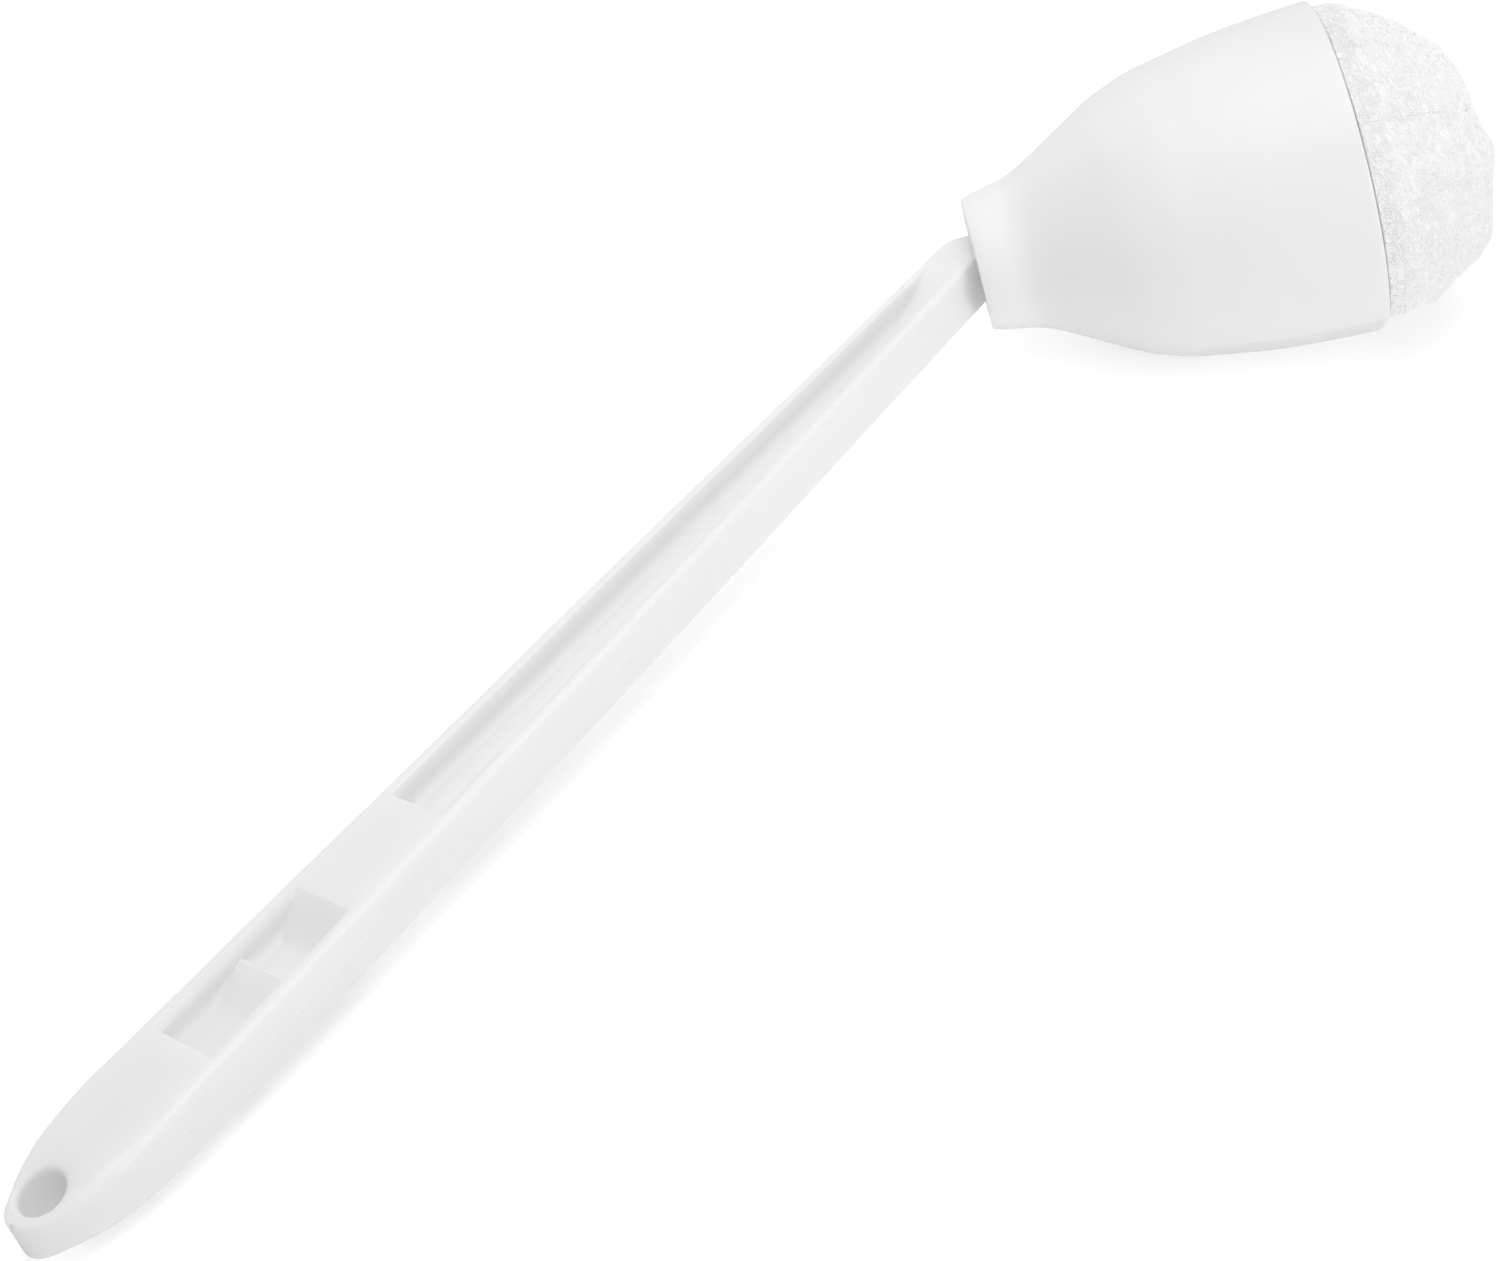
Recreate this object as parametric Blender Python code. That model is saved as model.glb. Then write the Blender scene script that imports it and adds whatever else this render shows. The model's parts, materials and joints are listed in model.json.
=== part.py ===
"""Toilet bowl mop: a moulded handle, a wringer cone that slides on its stem, and a bound yarn head.

Metres, +Z up. The mop lies on a floor the way it comes to rest when it is put down.

Handle frame: X runs from the tail to the bend, the head turns toward -Y, Z is square to the broad
faces. Head frame: its origin is the bend, Z runs along the stem toward the yarn, X is the handle
frame's Z, and angles round the stem are measured from X.
"""
import math

import bmesh
import bpy
from mathutils import Matrix, Vector

CLEARANCE = 0.0003

# Handle: a straight flat arm with a recessed core on both faces.
ARM_LENGTH = 0.2552
ARM_THICKNESS = 0.01044
GRIP_WIDTH = 0.0186
NECK_WIDTH = 0.0091
TAIL_TAPER = 0.0228
TAIL_THICKNESS = 0.0076
TAIL_THINNING_LENGTH = 0.0165
CORNER_RADIUS = 0.0008
PARTING_RIDGE = 0.0001
# Share of the way from the tail taper to the bend, and share of the way from neck to grip width.
WIDTH_SHARES = ((0.0, 1.0), (0.090, 0.900), (0.204, 0.820), (0.294, 0.715), (0.386, 0.635),
                (0.568, 0.475), (0.773, 0.235), (1.0, 0.0))
TAIL_RING_DEGREES = (5, 11, 18, 26, 35, 45, 56, 68, 79, 90)
ARM_RING_COUNT = 17

# Hang hole near the tail.
HANG_HOLE_INSET = 0.0069
HANG_HOLE_RADIUS = 0.0042
HANG_HOLE_CHAMFER = 0.0005
HANG_HOLE_SIDES = 32
CUT_OVERRUN = 0.001

# Recesses in both broad faces: two short pockets with a low rib between them, then a long channel.
POCKET_START = 0.0379
POCKET_END = 0.0700
RIB_CENTRE = 0.0555
RIB_THICKNESS = 0.0018
RIB_DROP = 0.0018
CHANNEL_START = 0.0935
CHANNEL_END = 0.2476
CHANNEL_RUNOUT = 0.014
CHANNEL_RUNOUT_RINGS = 4
WEB_THICKNESS = 0.0014
POCKET_RIM = 0.0023
NECK_RIM = 0.0018
WALL_DRAFT = 0.0003
FLOOR_FILLET = 0.0012

# Elbow and stem.
BEND_DEGREES = 46.9
ELBOW_INNER_RADIUS = 0.001
ELBOW_RINGS = 8
ROUND_OVER = 0.004
STEM_RADIUS = 0.005
STEM_LENGTH = 0.060
FLANGE_RADIUS = 0.0062
FLANGE_THICKNESS = 0.002
FLANGE_CHAMFER = 0.0004

# Wringer cone, measured from its collar edge toward its mouth.
COLLAR_OFFSET = 0.00095
CONE_LENGTH = 0.0714
CONE_WALL = 0.0016
COLLAR_RADIUS = 0.0127
RIM_RADIUS = 0.03185
CONE_EDGE_RADIUS = 0.0004
# Share of the cone's length, and share of the way from the collar's radius to the rim's.
BELL_SHARES = ((0.0, 0.0), (0.027, 0.032), (0.078, 0.069), (0.131, 0.116), (0.183, 0.201),
               (0.236, 0.312), (0.288, 0.423), (0.341, 0.534), (0.392, 0.635), (0.446, 0.714),
               (0.497, 0.778), (0.577, 0.836), (0.682, 0.905), (0.786, 0.952), (0.891, 0.981),
               (1.0, 1.0))
BELL_RINGS = 15
GUIDE_DISC_SETBACK = 0.007
GUIDE_DISC_THICKNESS = 0.002
GUIDE_SLEEVE_LENGTH = 0.005
GUIDE_SLEEVE_WALL = 0.0016
GUIDE_FILLET = 0.0006
# Two flat lands, opposite each other, run from the bell to the rim.
LAND_START = 0.034
LAND_RAMP = 0.004
LAND_HALF_DEGREES = 12.0
LAND_TURN_DEGREES = 136.5
LAND_FACETS = 3
BELL_FACETS = 21
SLIDE_TRAVEL = 0.0343

# Yarn head: hanks round the stem, held by a wire, that fan out into a dome past the cone's rim.
OUTER_HANKS = 12
INNER_HANKS = 6
BINDING_SETBACK = 0.012
WAIST_LENGTH = 0.0065
INNER_WAIST_THICKNESS = 0.0015
OUTER_WAIST_THICKNESS = 0.0016
YARN_CORE_RADIUS = 0.0008
CORE_CLOSE_LENGTH = 0.003
CORE_OPEN_LENGTH = 0.0015
RIM_CLEARANCE = 0.0011
YARN_PROJECTION = 0.0281
YARN_RADIUS = 0.0302
INNER_YARN_RADIUS = 0.0140
OUTER_REACH_SHARE = 0.915
LOBE_SHARE = 0.045
# Share of the yarn's projection past the rim, and share of its widest radius.
DOME_SHARES = ((0.107, 1.0), (0.253, 0.954), (0.388, 0.914), (0.520, 0.851), (0.655, 0.762),
               (0.786, 0.672), (0.854, 0.603), (0.922, 0.447), (0.989, 0.113))
FLARE_RINGS = 5

# Binding wire.
WIRE_RADIUS = 0.00055
WIRE_TURNS = 3
WIRE_PITCH = 0.0016
WIRE_POINTS_PER_TURN = 24

# Mass per volume, for the way the mop comes to rest.
PLASTIC_DENSITY = 920.0
YARN_DENSITY = 260.0
STEEL_DENSITY = 7850.0

BEND = math.radians(BEND_DEGREES)
YARN_START = STEM_LENGTH - BINDING_SETBACK
YARN_OUTER_COUNT_RADIUS = STEM_RADIUS + CLEARANCE + INNER_WAIST_THICKNESS


def clear_scene():
    """Remove what the scene holds, so the script can run again."""
    for item in list(bpy.data.objects):
        bpy.data.objects.remove(item, do_unlink=True)


def smooth_value(table, place):
    """Read a table of (place, value) pairs with a monotone cubic, which never overshoots."""
    places = [pair[0] for pair in table]
    values = [pair[1] for pair in table]
    if place <= places[0]:
        return values[0]
    if place >= places[-1]:
        return values[-1]
    steps = [b - a for a, b in zip(places, places[1:])]
    slopes = [(b - a) / step for a, b, step in zip(values, values[1:], steps)]
    tangents = [slopes[0]]
    for before, after in zip(slopes, slopes[1:]):
        meet = 0.0 if before * after <= 0 else 2 * before * after / (before + after)
        tangents.append(meet)
    tangents.append(slopes[-1])
    index = max(i for i in range(len(steps)) if places[i] <= place)
    step = steps[index]
    u = (place - places[index]) / step
    start = (2 * u ** 3 - 3 * u ** 2 + 1) * values[index]
    start_run = (u ** 3 - 2 * u ** 2 + u) * step * tangents[index]
    end = (3 * u ** 2 - 2 * u ** 3) * values[index + 1]
    end_run = (u ** 3 - u ** 2) * step * tangents[index + 1]
    return start + start_run + end + end_run


def linear_value(table, place):
    """Read a table of (place, value) pairs with straight lines between its places."""
    for (x0, v0), (x1, v1) in zip(table, table[1:]):
        if x0 <= place <= x1 and x1 > x0:
            return v0 + (v1 - v0) * (place - x0) / (x1 - x0)
    return 0.0


def ease(u):
    """Smooth step from 0 to 1."""
    u = min(max(u, 0.0), 1.0)
    return u * u * (3 - 2 * u)


def material(name, colour, roughness, metallic):
    """Make a Principled BSDF material."""
    made = bpy.data.materials.new(name)
    made.use_nodes = True
    shader = made.node_tree.nodes["Principled BSDF"]
    shader.inputs["Base Color"].default_value = (*colour, 1.0)
    shader.inputs["Roughness"].default_value = roughness
    shader.inputs["Metallic"].default_value = metallic
    made.diffuse_color = (*colour, 1.0)
    return made


def loft(name, rings, surface, closed=False):
    """Skin rings of equally many points, end to end, or round in a circle when closed."""
    mesh = bmesh.new()
    rows = [[mesh.verts.new(point) for point in ring] for ring in rings]
    count = len(rows[0])
    pairs = list(zip(rows, rows[1:]))
    if closed:
        pairs.append((rows[-1], rows[0]))
    for near, far in pairs:
        for i in range(count):
            j = (i + 1) % count
            mesh.faces.new((near[i], near[j], far[j], far[i]))
    if not closed:
        mesh.faces.new(rows[0])
        mesh.faces.new(rows[-1])
    bmesh.ops.recalc_face_normals(mesh, faces=mesh.faces)
    data = bpy.data.meshes.new(name)
    mesh.to_mesh(data)
    mesh.free()
    data.shade_smooth()
    data.set_sharp_from_angle(angle=math.radians(32))
    data.materials.append(surface)
    made = bpy.data.objects.new(name, data)
    bpy.context.scene.collection.objects.link(made)
    return made


def empty(name, parent=None):
    """Make an empty that carries other objects."""
    made = bpy.data.objects.new(name, None)
    made.empty_display_size = STEM_RADIUS
    made.parent = parent
    bpy.context.scene.collection.objects.link(made)
    return made


# Handle

def arm_half_width(x):
    """Half the arm's width: an elliptical tail, then a taper to the neck."""
    if x < TAIL_TAPER:
        return GRIP_WIDTH / 2 * math.sqrt(max(1 - (1 - x / TAIL_TAPER) ** 2, 0.0))
    share = smooth_value(WIDTH_SHARES, (x - TAIL_TAPER) / (ARM_LENGTH - TAIL_TAPER))
    return (NECK_WIDTH + (GRIP_WIDTH - NECK_WIDTH) * share) / 2


def arm_half_thickness(x):
    """Half the arm's thickness, which thins toward the end of the tail."""
    share = ease(x / TAIL_THINNING_LENGTH)
    return (TAIL_THICKNESS + (ARM_THICKNESS - TAIL_THICKNESS) * share) / 2


def recess_wall(x, direction, top, bottom):
    """Stations (x, depth) down one drafted end wall, with a fillet at its floor."""
    fillet = min(FLOOR_FILLET, bottom - top)
    low = x + direction * WALL_DRAFT
    stations = [(x, top), (low, bottom - fillet)]
    stations.append((low + direction * fillet * 0.3, bottom - fillet * 0.3))
    stations.append((low + direction * fillet, bottom))
    return stations if direction > 0 else stations[::-1]


def recess_stations():
    """Depth of the recesses below the broad face, along the arm."""
    deep = (ARM_THICKNESS - WEB_THICKNESS) / 2
    rib_near = RIB_CENTRE - RIB_THICKNESS / 2
    rib_far = RIB_CENTRE + RIB_THICKNESS / 2
    stations = recess_wall(POCKET_START, 1, 0.0, deep)
    stations += recess_wall(rib_near, -1, RIB_DROP, deep)
    stations += recess_wall(rib_far, 1, RIB_DROP, deep)
    stations += recess_wall(POCKET_END, -1, 0.0, deep)
    stations += recess_wall(CHANNEL_START, 1, 0.0, deep)
    for i in range(CHANNEL_RUNOUT_RINGS + 1):
        u = i / CHANNEL_RUNOUT_RINGS
        stations.append((CHANNEL_END - CHANNEL_RUNOUT * (1 - u), deep * (1 - ease(u))))
    return stations


def arm_stations():
    """Places along the arm that get a ring: the tail, the recess walls, and an even spread."""
    places = [TAIL_TAPER * (1 - math.cos(math.radians(a))) for a in TAIL_RING_DEGREES]
    walls = [x for x, depth in recess_stations()]
    elbow_start = ARM_LENGTH - elbow_radius() * math.tan(BEND / 2)
    spread = []
    for i in range(1, ARM_RING_COUNT + 1):
        x = TAIL_TAPER + (elbow_start - TAIL_TAPER) * i / (ARM_RING_COUNT + 1)
        if all(abs(x - wall) > FLOOR_FILLET for wall in walls):
            spread.append(x)
    return sorted(places + walls + spread)


def arm_quadrant(x, depth):
    """Nine points (across, up) of the arm's section, from its edge to the middle of its face."""
    half_width = arm_half_width(x)
    half_thick = arm_half_thickness(x)
    corner = min(CORNER_RADIUS, half_width * 0.45)
    along = (x - POCKET_END) / (ARM_LENGTH - POCKET_END)
    rim = POCKET_RIM + (NECK_RIM - POCKET_RIM) * ease(along)
    inner = half_width - min(rim, half_width / 2)
    draft = min(WALL_DRAFT, inner / 8)
    fillet = min(FLOOR_FILLET, inner / 2)
    wall = half_thick - max(depth - fillet, 0.0)
    curve = half_thick - max(depth - fillet * 0.3, 0.0)
    floor = half_thick - depth
    return [(half_width + PARTING_RIDGE, 0.0),
            (half_width, half_thick - corner),
            (half_width - corner * 0.3, half_thick - corner * 0.3),
            (half_width - corner, half_thick),
            (inner, half_thick),
            (inner - draft, wall),
            (inner - draft - fillet * 0.3, curve),
            (inner - draft - fillet, floor),
            (0.0, floor)]


def round_quadrant(radius):
    """Nine points of a quarter circle."""
    angles = [math.pi / 16 * i for i in range(9)]
    return [(radius * math.cos(a), radius * math.sin(a)) for a in angles]


def blend_quadrants(first, second, share):
    """Mix two quadrants point by point."""
    return [(a[0] + (b[0] - a[0]) * share, a[1] + (b[1] - a[1]) * share)
            for a, b in zip(first, second)]


def full_ring(quadrant, centre, across):
    """Mirror a quadrant twice and place it square to the path."""
    upper = quadrant + [(-y, z) for y, z in quadrant[-2::-1]]
    lower = [(y, -z) for y, z in upper[-2:0:-1]]
    up = Vector((0.0, 0.0, 1.0))
    return [centre + across * y + up * z for y, z in upper + lower]


def elbow_radius():
    """Radius of the elbow's centre line."""
    return NECK_WIDTH / 2 + ELBOW_INNER_RADIUS


def stem_direction():
    """Direction of the stem in the handle frame."""
    return Vector((math.cos(BEND), -math.sin(BEND), 0.0))


def make_handle(surface):
    """One moulding: the recessed arm, the elbow, and the round stem with its flange."""
    recesses = recess_stations()
    side = Vector((0.0, 1.0, 0.0))
    rings = []
    for x in arm_stations():
        quadrant = arm_quadrant(x, linear_value(recesses, x))
        rings.append(full_ring(quadrant, Vector((x, 0.0, 0.0)), side))
    radius = elbow_radius()
    setback = radius * math.tan(BEND / 2)
    neck = arm_quadrant(ARM_LENGTH, 0.0)
    stem = round_quadrant(STEM_RADIUS)
    blend_length = radius * BEND + ROUND_OVER
    for i in range(ELBOW_RINGS + 1):
        turn = BEND * i / ELBOW_RINGS
        centre = Vector((ARM_LENGTH - setback + radius * math.sin(turn),
                         -radius * (1 - math.cos(turn)), 0.0))
        across = Vector((math.sin(turn), math.cos(turn), 0.0))
        mixed = blend_quadrants(neck, stem, ease(radius * turn / blend_length))
        rings.append(full_ring(mixed, centre, across))
    across = Vector((math.sin(BEND), math.cos(BEND), 0.0))
    bend = Vector((ARM_LENGTH, 0.0, 0.0))
    for share in (0.35, 0.7, 1.0):
        blend = ease((radius * BEND + ROUND_OVER * share) / blend_length)
        centre = bend + stem_direction() * (setback + ROUND_OVER * share)
        rings.append(full_ring(blend_quadrants(neck, stem, blend), centre, across))
    flange_start = STEM_LENGTH - FLANGE_THICKNESS
    ends = [(flange_start, STEM_RADIUS),
            (flange_start, FLANGE_RADIUS - FLANGE_CHAMFER),
            (flange_start + FLANGE_CHAMFER, FLANGE_RADIUS),
            (STEM_LENGTH - FLANGE_CHAMFER, FLANGE_RADIUS),
            (STEM_LENGTH, FLANGE_RADIUS - FLANGE_CHAMFER)]
    for distance, size in ends:
        centre = bend + stem_direction() * distance
        rings.append(full_ring(round_quadrant(size), centre, across))
    handle = loft("handle", rings, surface)
    cut_hang_hole(handle, surface)
    return handle


def cut_hang_hole(handle, surface):
    """Cut the hang hole through both faces, with a chamfer that follows each face."""
    wide = HANG_HOLE_RADIUS + HANG_HOLE_CHAMFER + CUT_OVERRUN
    beyond = ARM_THICKNESS / 2 + CUT_OVERRUN * 2
    turns = [2 * math.pi * (i + 0.5) / HANG_HOLE_SIDES for i in range(HANG_HOLE_SIDES)]
    faces = [arm_half_thickness(HANG_HOLE_INSET + HANG_HOLE_RADIUS * math.cos(a)) for a in turns]
    mouth = [face + CUT_OVERRUN for face in faces]
    neck = [face - HANG_HOLE_CHAMFER for face in faces]
    flat = [beyond for face in faces]
    levels = [(-1, flat, wide), (-1, mouth, wide), (-1, neck, HANG_HOLE_RADIUS),
              (1, neck, HANG_HOLE_RADIUS), (1, mouth, wide), (1, flat, wide)]
    rings = []
    for side, heights, radius in levels:
        rings.append([Vector((radius * math.cos(a), radius * math.sin(a), side * z))
                      for a, z in zip(turns, heights)])
    cutter = loft("hang_hole_cutter", rings, surface)
    cutter.location = (HANG_HOLE_INSET, 0.0, 0.0)
    cutter.parent = handle
    cutter.hide_render = True
    cutter.display_type = "WIRE"
    cut = handle.modifiers.new("hang_hole", "BOOLEAN")
    cut.operation = "DIFFERENCE"
    cut.solver = "EXACT"
    cut.object = cutter


# Wringer cone

def bell_radius(z):
    """Outer radius of the cone at a distance from its collar edge."""
    share = smooth_value(BELL_SHARES, z / CONE_LENGTH)
    return COLLAR_RADIUS + (RIM_RADIUS - COLLAR_RADIUS) * share


def bell_inner_radius(z):
    """Inner radius that leaves the wall its thickness square to the surface."""
    reach = CONE_EDGE_RADIUS
    low = max(z - reach, 0.0)
    high = min(z + reach, CONE_LENGTH)
    slope = (bell_radius(high) - bell_radius(low)) / (high - low)
    return bell_radius(z) - CONE_WALL * math.sqrt(1 + slope ** 2)


def bell_places():
    """Places along the cone that get a profile point, closer together in the throat."""
    places = []
    for i in range(1, BELL_RINGS):
        u = i / BELL_RINGS
        places.append(CONE_LENGTH * (u + 0.18 * math.sin(2 * math.pi * u) / math.pi * -1))
    land_ends = [LAND_START, LAND_START + LAND_RAMP]
    gap = CONE_LENGTH / BELL_RINGS / 3
    kept = [z for z in places if all(abs(z - end) > gap for end in land_ends)]
    return sorted(kept + land_ends)


def cone_profile():
    """Closed wall profile as (radius, z, is_bell): bell, rim, guide disc, sleeve and collar."""
    edge = CONE_EDGE_RADIUS
    disc_near = GUIDE_DISC_SETBACK
    disc_far = disc_near + GUIDE_DISC_THICKNESS
    sleeve_end = disc_near + GUIDE_SLEEVE_LENGTH
    bore = STEM_RADIUS + CLEARANCE
    sleeve = bore + GUIDE_SLEEVE_WALL
    fillet = GUIDE_FILLET
    places = bell_places()
    far_edge = CONE_LENGTH - edge
    points = [(bell_radius(0.0) - edge, 0.0, True), (bell_radius(edge), edge, True)]
    points += [(bell_radius(z), z, True) for z in places]
    points.append((bell_radius(far_edge), far_edge, True))
    points.append((RIM_RADIUS - edge, CONE_LENGTH, True))
    points.append((bell_inner_radius(CONE_LENGTH) + edge, CONE_LENGTH, True))
    points.append((bell_inner_radius(far_edge), far_edge, True))
    points += [(bell_inner_radius(z), z, True) for z in places[::-1] if z > disc_far + 2 * fillet]
    points.append((bell_inner_radius(disc_far + fillet), disc_far + fillet, True))
    points.append((bell_inner_radius(disc_far) - fillet, disc_far, False))
    points.append((sleeve + fillet, disc_far, False))
    points.append((sleeve, disc_far + fillet, False))
    points.append((sleeve, sleeve_end, False))
    points.append((bore + edge, sleeve_end, False))
    points.append((bore, sleeve_end - edge, False))
    points.append((bore, disc_near + edge, False))
    points.append((bore + edge, disc_near, False))
    points.append((bell_inner_radius(disc_near) - fillet, disc_near, False))
    points.append((bell_inner_radius(disc_near - fillet), disc_near - fillet, True))
    points.append((bell_inner_radius(edge), edge, True))
    points.append((bell_inner_radius(0.0) + edge, 0.0, True))
    return points


def land_angles():
    """Angles round the cone as (angle, offset from the land's middle or None off the lands)."""
    half = math.radians(LAND_HALF_DEGREES)
    angles = []
    for side in range(2):
        middle = math.radians(LAND_TURN_DEGREES) + math.pi * side
        for i in range(LAND_FACETS + 1):
            offset = half * (2 * i / LAND_FACETS - 1)
            angles.append((middle + offset, offset))
        rest = math.pi - 2 * half
        for i in range(1, BELL_FACETS):
            angles.append((middle + half + rest * i / BELL_FACETS, None))
    return angles


def make_cone(surface):
    """The bell with its collar, two lands, and the guide disc and sleeve that ride on the stem."""
    half = math.radians(LAND_HALF_DEGREES)
    rings = []
    for angle, offset in land_angles():
        ring = []
        for radius, z, is_bell in cone_profile():
            if offset is not None and is_bell:
                depth = 1 - math.cos(half) / math.cos(offset)
                radius *= 1 - depth * ease((z - LAND_START) / LAND_RAMP)
            ring.append(Vector((radius * math.cos(angle), radius * math.sin(angle), z)))
        rings.append(ring)
    return loft("wringer_cone", rings, surface, closed=True)


# Yarn head

def rim_place():
    """Distance of the cone's rim from the bend."""
    return COLLAR_OFFSET + CONE_LENGTH


def yarn_outer_radius(s):
    """Outer radius of the whole yarn head at a distance from the bend."""
    waist = YARN_OUTER_COUNT_RADIUS + CLEARANCE + OUTER_WAIST_THICKNESS
    waist_end = YARN_START + WAIST_LENGTH
    rim = rim_place()
    if s <= waist_end:
        return waist
    throat = bell_inner_radius(CONE_LENGTH) - RIM_CLEARANCE
    if s <= rim:
        return waist + (throat - waist) * ease((s - waist_end) / (rim - waist_end))
    share = (s - rim) / YARN_PROJECTION
    table = ((0.0, throat / YARN_RADIUS),) + DOME_SHARES + ((1.0, 0.0),)
    return YARN_RADIUS * smooth_value(table, share)


def yarn_middle_radius(s):
    """Radius of the seam between the inner and the outer hanks."""
    seam = YARN_OUTER_COUNT_RADIUS + CLEARANCE / 2
    waist_end = YARN_START + WAIST_LENGTH
    grow = ease((s - waist_end) / (rim_place() - waist_end))
    return seam + (INNER_YARN_RADIUS - seam) * grow


def yarn_core_radius(s):
    """Inner radius of the inner hanks: round the stem, over its flange, then nearly closed."""
    flange_start = STEM_LENGTH - FLANGE_THICKNESS - CLEARANCE
    flange_end = STEM_LENGTH + CLEARANCE
    over_stem = STEM_RADIUS + CLEARANCE
    over_flange = FLANGE_RADIUS + CLEARANCE
    table = ((YARN_START, over_stem), (flange_start - CORE_OPEN_LENGTH, over_stem),
             (flange_start, over_flange), (flange_end, over_flange),
             (flange_end + CORE_CLOSE_LENGTH, YARN_CORE_RADIUS),
             (rim_place() + YARN_PROJECTION, YARN_CORE_RADIUS))
    return linear_value(table, s)


def sector_ring(s, inner, outer, middle, half, lobe, inner_facets, outer_facets):
    """Ring of one hank: a sector between two radii, its sides half a clearance off the seam."""
    points = []
    edge = half - math.asin(min(CLEARANCE / 2 / outer, 1.0))
    for i in range(outer_facets + 1):
        u = 2 * i / outer_facets - 1
        radius = outer * (1 - lobe * u * u)
        angle = middle + edge * u
        points.append(Vector((radius * math.cos(angle), radius * math.sin(angle), s)))
    edge = half - math.asin(min(CLEARANCE / 2 / inner, 1.0))
    for i in range(inner_facets + 1):
        angle = middle - edge * (2 * i / inner_facets - 1)
        points.append(Vector((inner * math.cos(angle), inner * math.sin(angle), s)))
    return points


def make_outer_hank(index, surface):
    """One hank of the outer layer, from the waist out to the dome."""
    waist_end = YARN_START + WAIST_LENGTH
    rim = rim_place()
    reach = rim + YARN_PROJECTION * OUTER_REACH_SHARE
    places = [YARN_START, waist_end]
    places += [waist_end + (rim - waist_end) * i / FLARE_RINGS for i in range(1, FLARE_RINGS + 1)]
    places += [rim + YARN_PROJECTION * share for share, radius in DOME_SHARES]
    places = [s for s in places if s < reach - CLEARANCE] + [reach]
    half = math.pi / OUTER_HANKS
    middle = 2 * half * index
    rings = []
    for s in places:
        inner = yarn_middle_radius(s) + CLEARANCE / 2
        outer = max(yarn_outer_radius(s), inner + CLEARANCE)
        lobe = LOBE_SHARE * ease((s - waist_end) / (rim - waist_end))
        lobe = min(lobe, (outer - inner) / outer / 2)
        rings.append(sector_ring(s, inner, outer, middle, half, lobe, 2, 4))
    return loft("yarn_outer_%02d" % (index + 1), rings, surface)


def make_inner_hank(index, surface):
    """One hank of the inner layer, from the waist over the flange to the middle of the dome."""
    waist_end = YARN_START + WAIST_LENGTH
    rim = rim_place()
    flange_start = STEM_LENGTH - FLANGE_THICKNESS - CLEARANCE
    flange_end = STEM_LENGTH + CLEARANCE
    places = [YARN_START, flange_start - CORE_OPEN_LENGTH, flange_start, flange_end]
    places += [flange_end + CORE_CLOSE_LENGTH, rim]
    places += [rim + YARN_PROJECTION * share for share, radius in DOME_SHARES if share > 0.5]
    half = math.pi / INNER_HANKS
    middle = 2 * half * (index + 0.25)
    rings = []
    for s in sorted(places):
        inner = yarn_core_radius(s)
        outer = min(yarn_middle_radius(s) - CLEARANCE / 2, yarn_outer_radius(s))
        outer = max(outer, inner + CLEARANCE)
        lobe = LOBE_SHARE * ease((s - rim) / YARN_PROJECTION)
        lobe = min(lobe, (outer - inner) / outer / 2)
        rings.append(sector_ring(s, inner, outer, middle, half, lobe, 4, 4))
    return loft("yarn_inner_%02d" % (index + 1), rings, surface)


def make_wire(surface):
    """The binding: one unbroken wire wound round the waist."""
    centre_radius = yarn_outer_radius(YARN_START) + CLEARANCE + WIRE_RADIUS
    centre_radius /= math.cos(math.pi / WIRE_POINTS_PER_TURN)
    coil_length = WIRE_PITCH * WIRE_TURNS
    start = YARN_START + (WAIST_LENGTH - coil_length) / 2
    points = []
    for i in range(WIRE_TURNS * WIRE_POINTS_PER_TURN + 1):
        turn = i / WIRE_POINTS_PER_TURN
        angle = 2 * math.pi * turn
        points.append(Vector((centre_radius * math.cos(angle), centre_radius * math.sin(angle),
                              start + WIRE_PITCH * turn)))
    curve = bpy.data.curves.new("binding_wire", "CURVE")
    curve.dimensions = "3D"
    curve.bevel_depth = WIRE_RADIUS
    curve.bevel_resolution = 1
    curve.use_fill_caps = True
    spline = curve.splines.new("POLY")
    spline.points.add(len(points) - 1)
    for target, point in zip(spline.points, points):
        target.co = (*point, 1.0)
    curve.materials.append(surface)
    wire = bpy.data.objects.new("binding_wire", curve)
    bpy.context.scene.collection.objects.link(wire)
    half_turn = WIRE_POINTS_PER_TURN // 2
    least = min((points[i] - points[j]).length
                for i in range(len(points)) for j in range(i + half_turn, len(points)))
    print("binding_wire least gap to itself, m:", round(least - 2 * WIRE_RADIUS, 6))
    return wire


# Rest on the floor

def body_sums(item):
    """Volume and volume moment of a closed mesh object, in its parent's top frame."""
    place = item.matrix_world
    item.data.calc_loop_triangles()
    corners = [place @ vertex.co for vertex in item.data.vertices]
    volume = 0.0
    moment = Vector((0.0, 0.0, 0.0))
    for triangle in item.data.loop_triangles:
        a, b, c = (corners[i] for i in triangle.vertices)
        part = a.dot(b.cross(c)) / 6
        volume += part
        moment += part * (a + b + c) / 4
    return volume, moment, corners


def rest_turn(corners, mass_centre, upward):
    """Turn that lays the convex hull on the lowest face that can carry the centre of mass."""
    hull = bmesh.new()
    for corner in corners:
        hull.verts.new(corner)
    bmesh.ops.convex_hull(hull, input=hull.verts)
    hull.normal_update()
    best = None
    for face in hull.faces:
        outward = face.normal
        if (face.calc_center_median() - mass_centre).dot(outward) < 0:
            outward = -outward
        if outward.dot(upward) > 0:
            continue
        height = (face.verts[0].co - mass_centre).dot(outward)
        foot = mass_centre + outward * height
        ring = [vertex.co for vertex in face.verts]
        sides = [(b - a).cross(foot - a).dot(outward) for a, b in zip(ring, ring[1:] + ring[:1])]
        if min(sides) < 0 < max(sides):
            continue
        if best is None or height < best[0]:
            best = (height, outward.copy())
    hull.free()
    return best[1].rotation_difference(Vector((0.0, 0.0, -1.0))).to_matrix().to_4x4()


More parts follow.
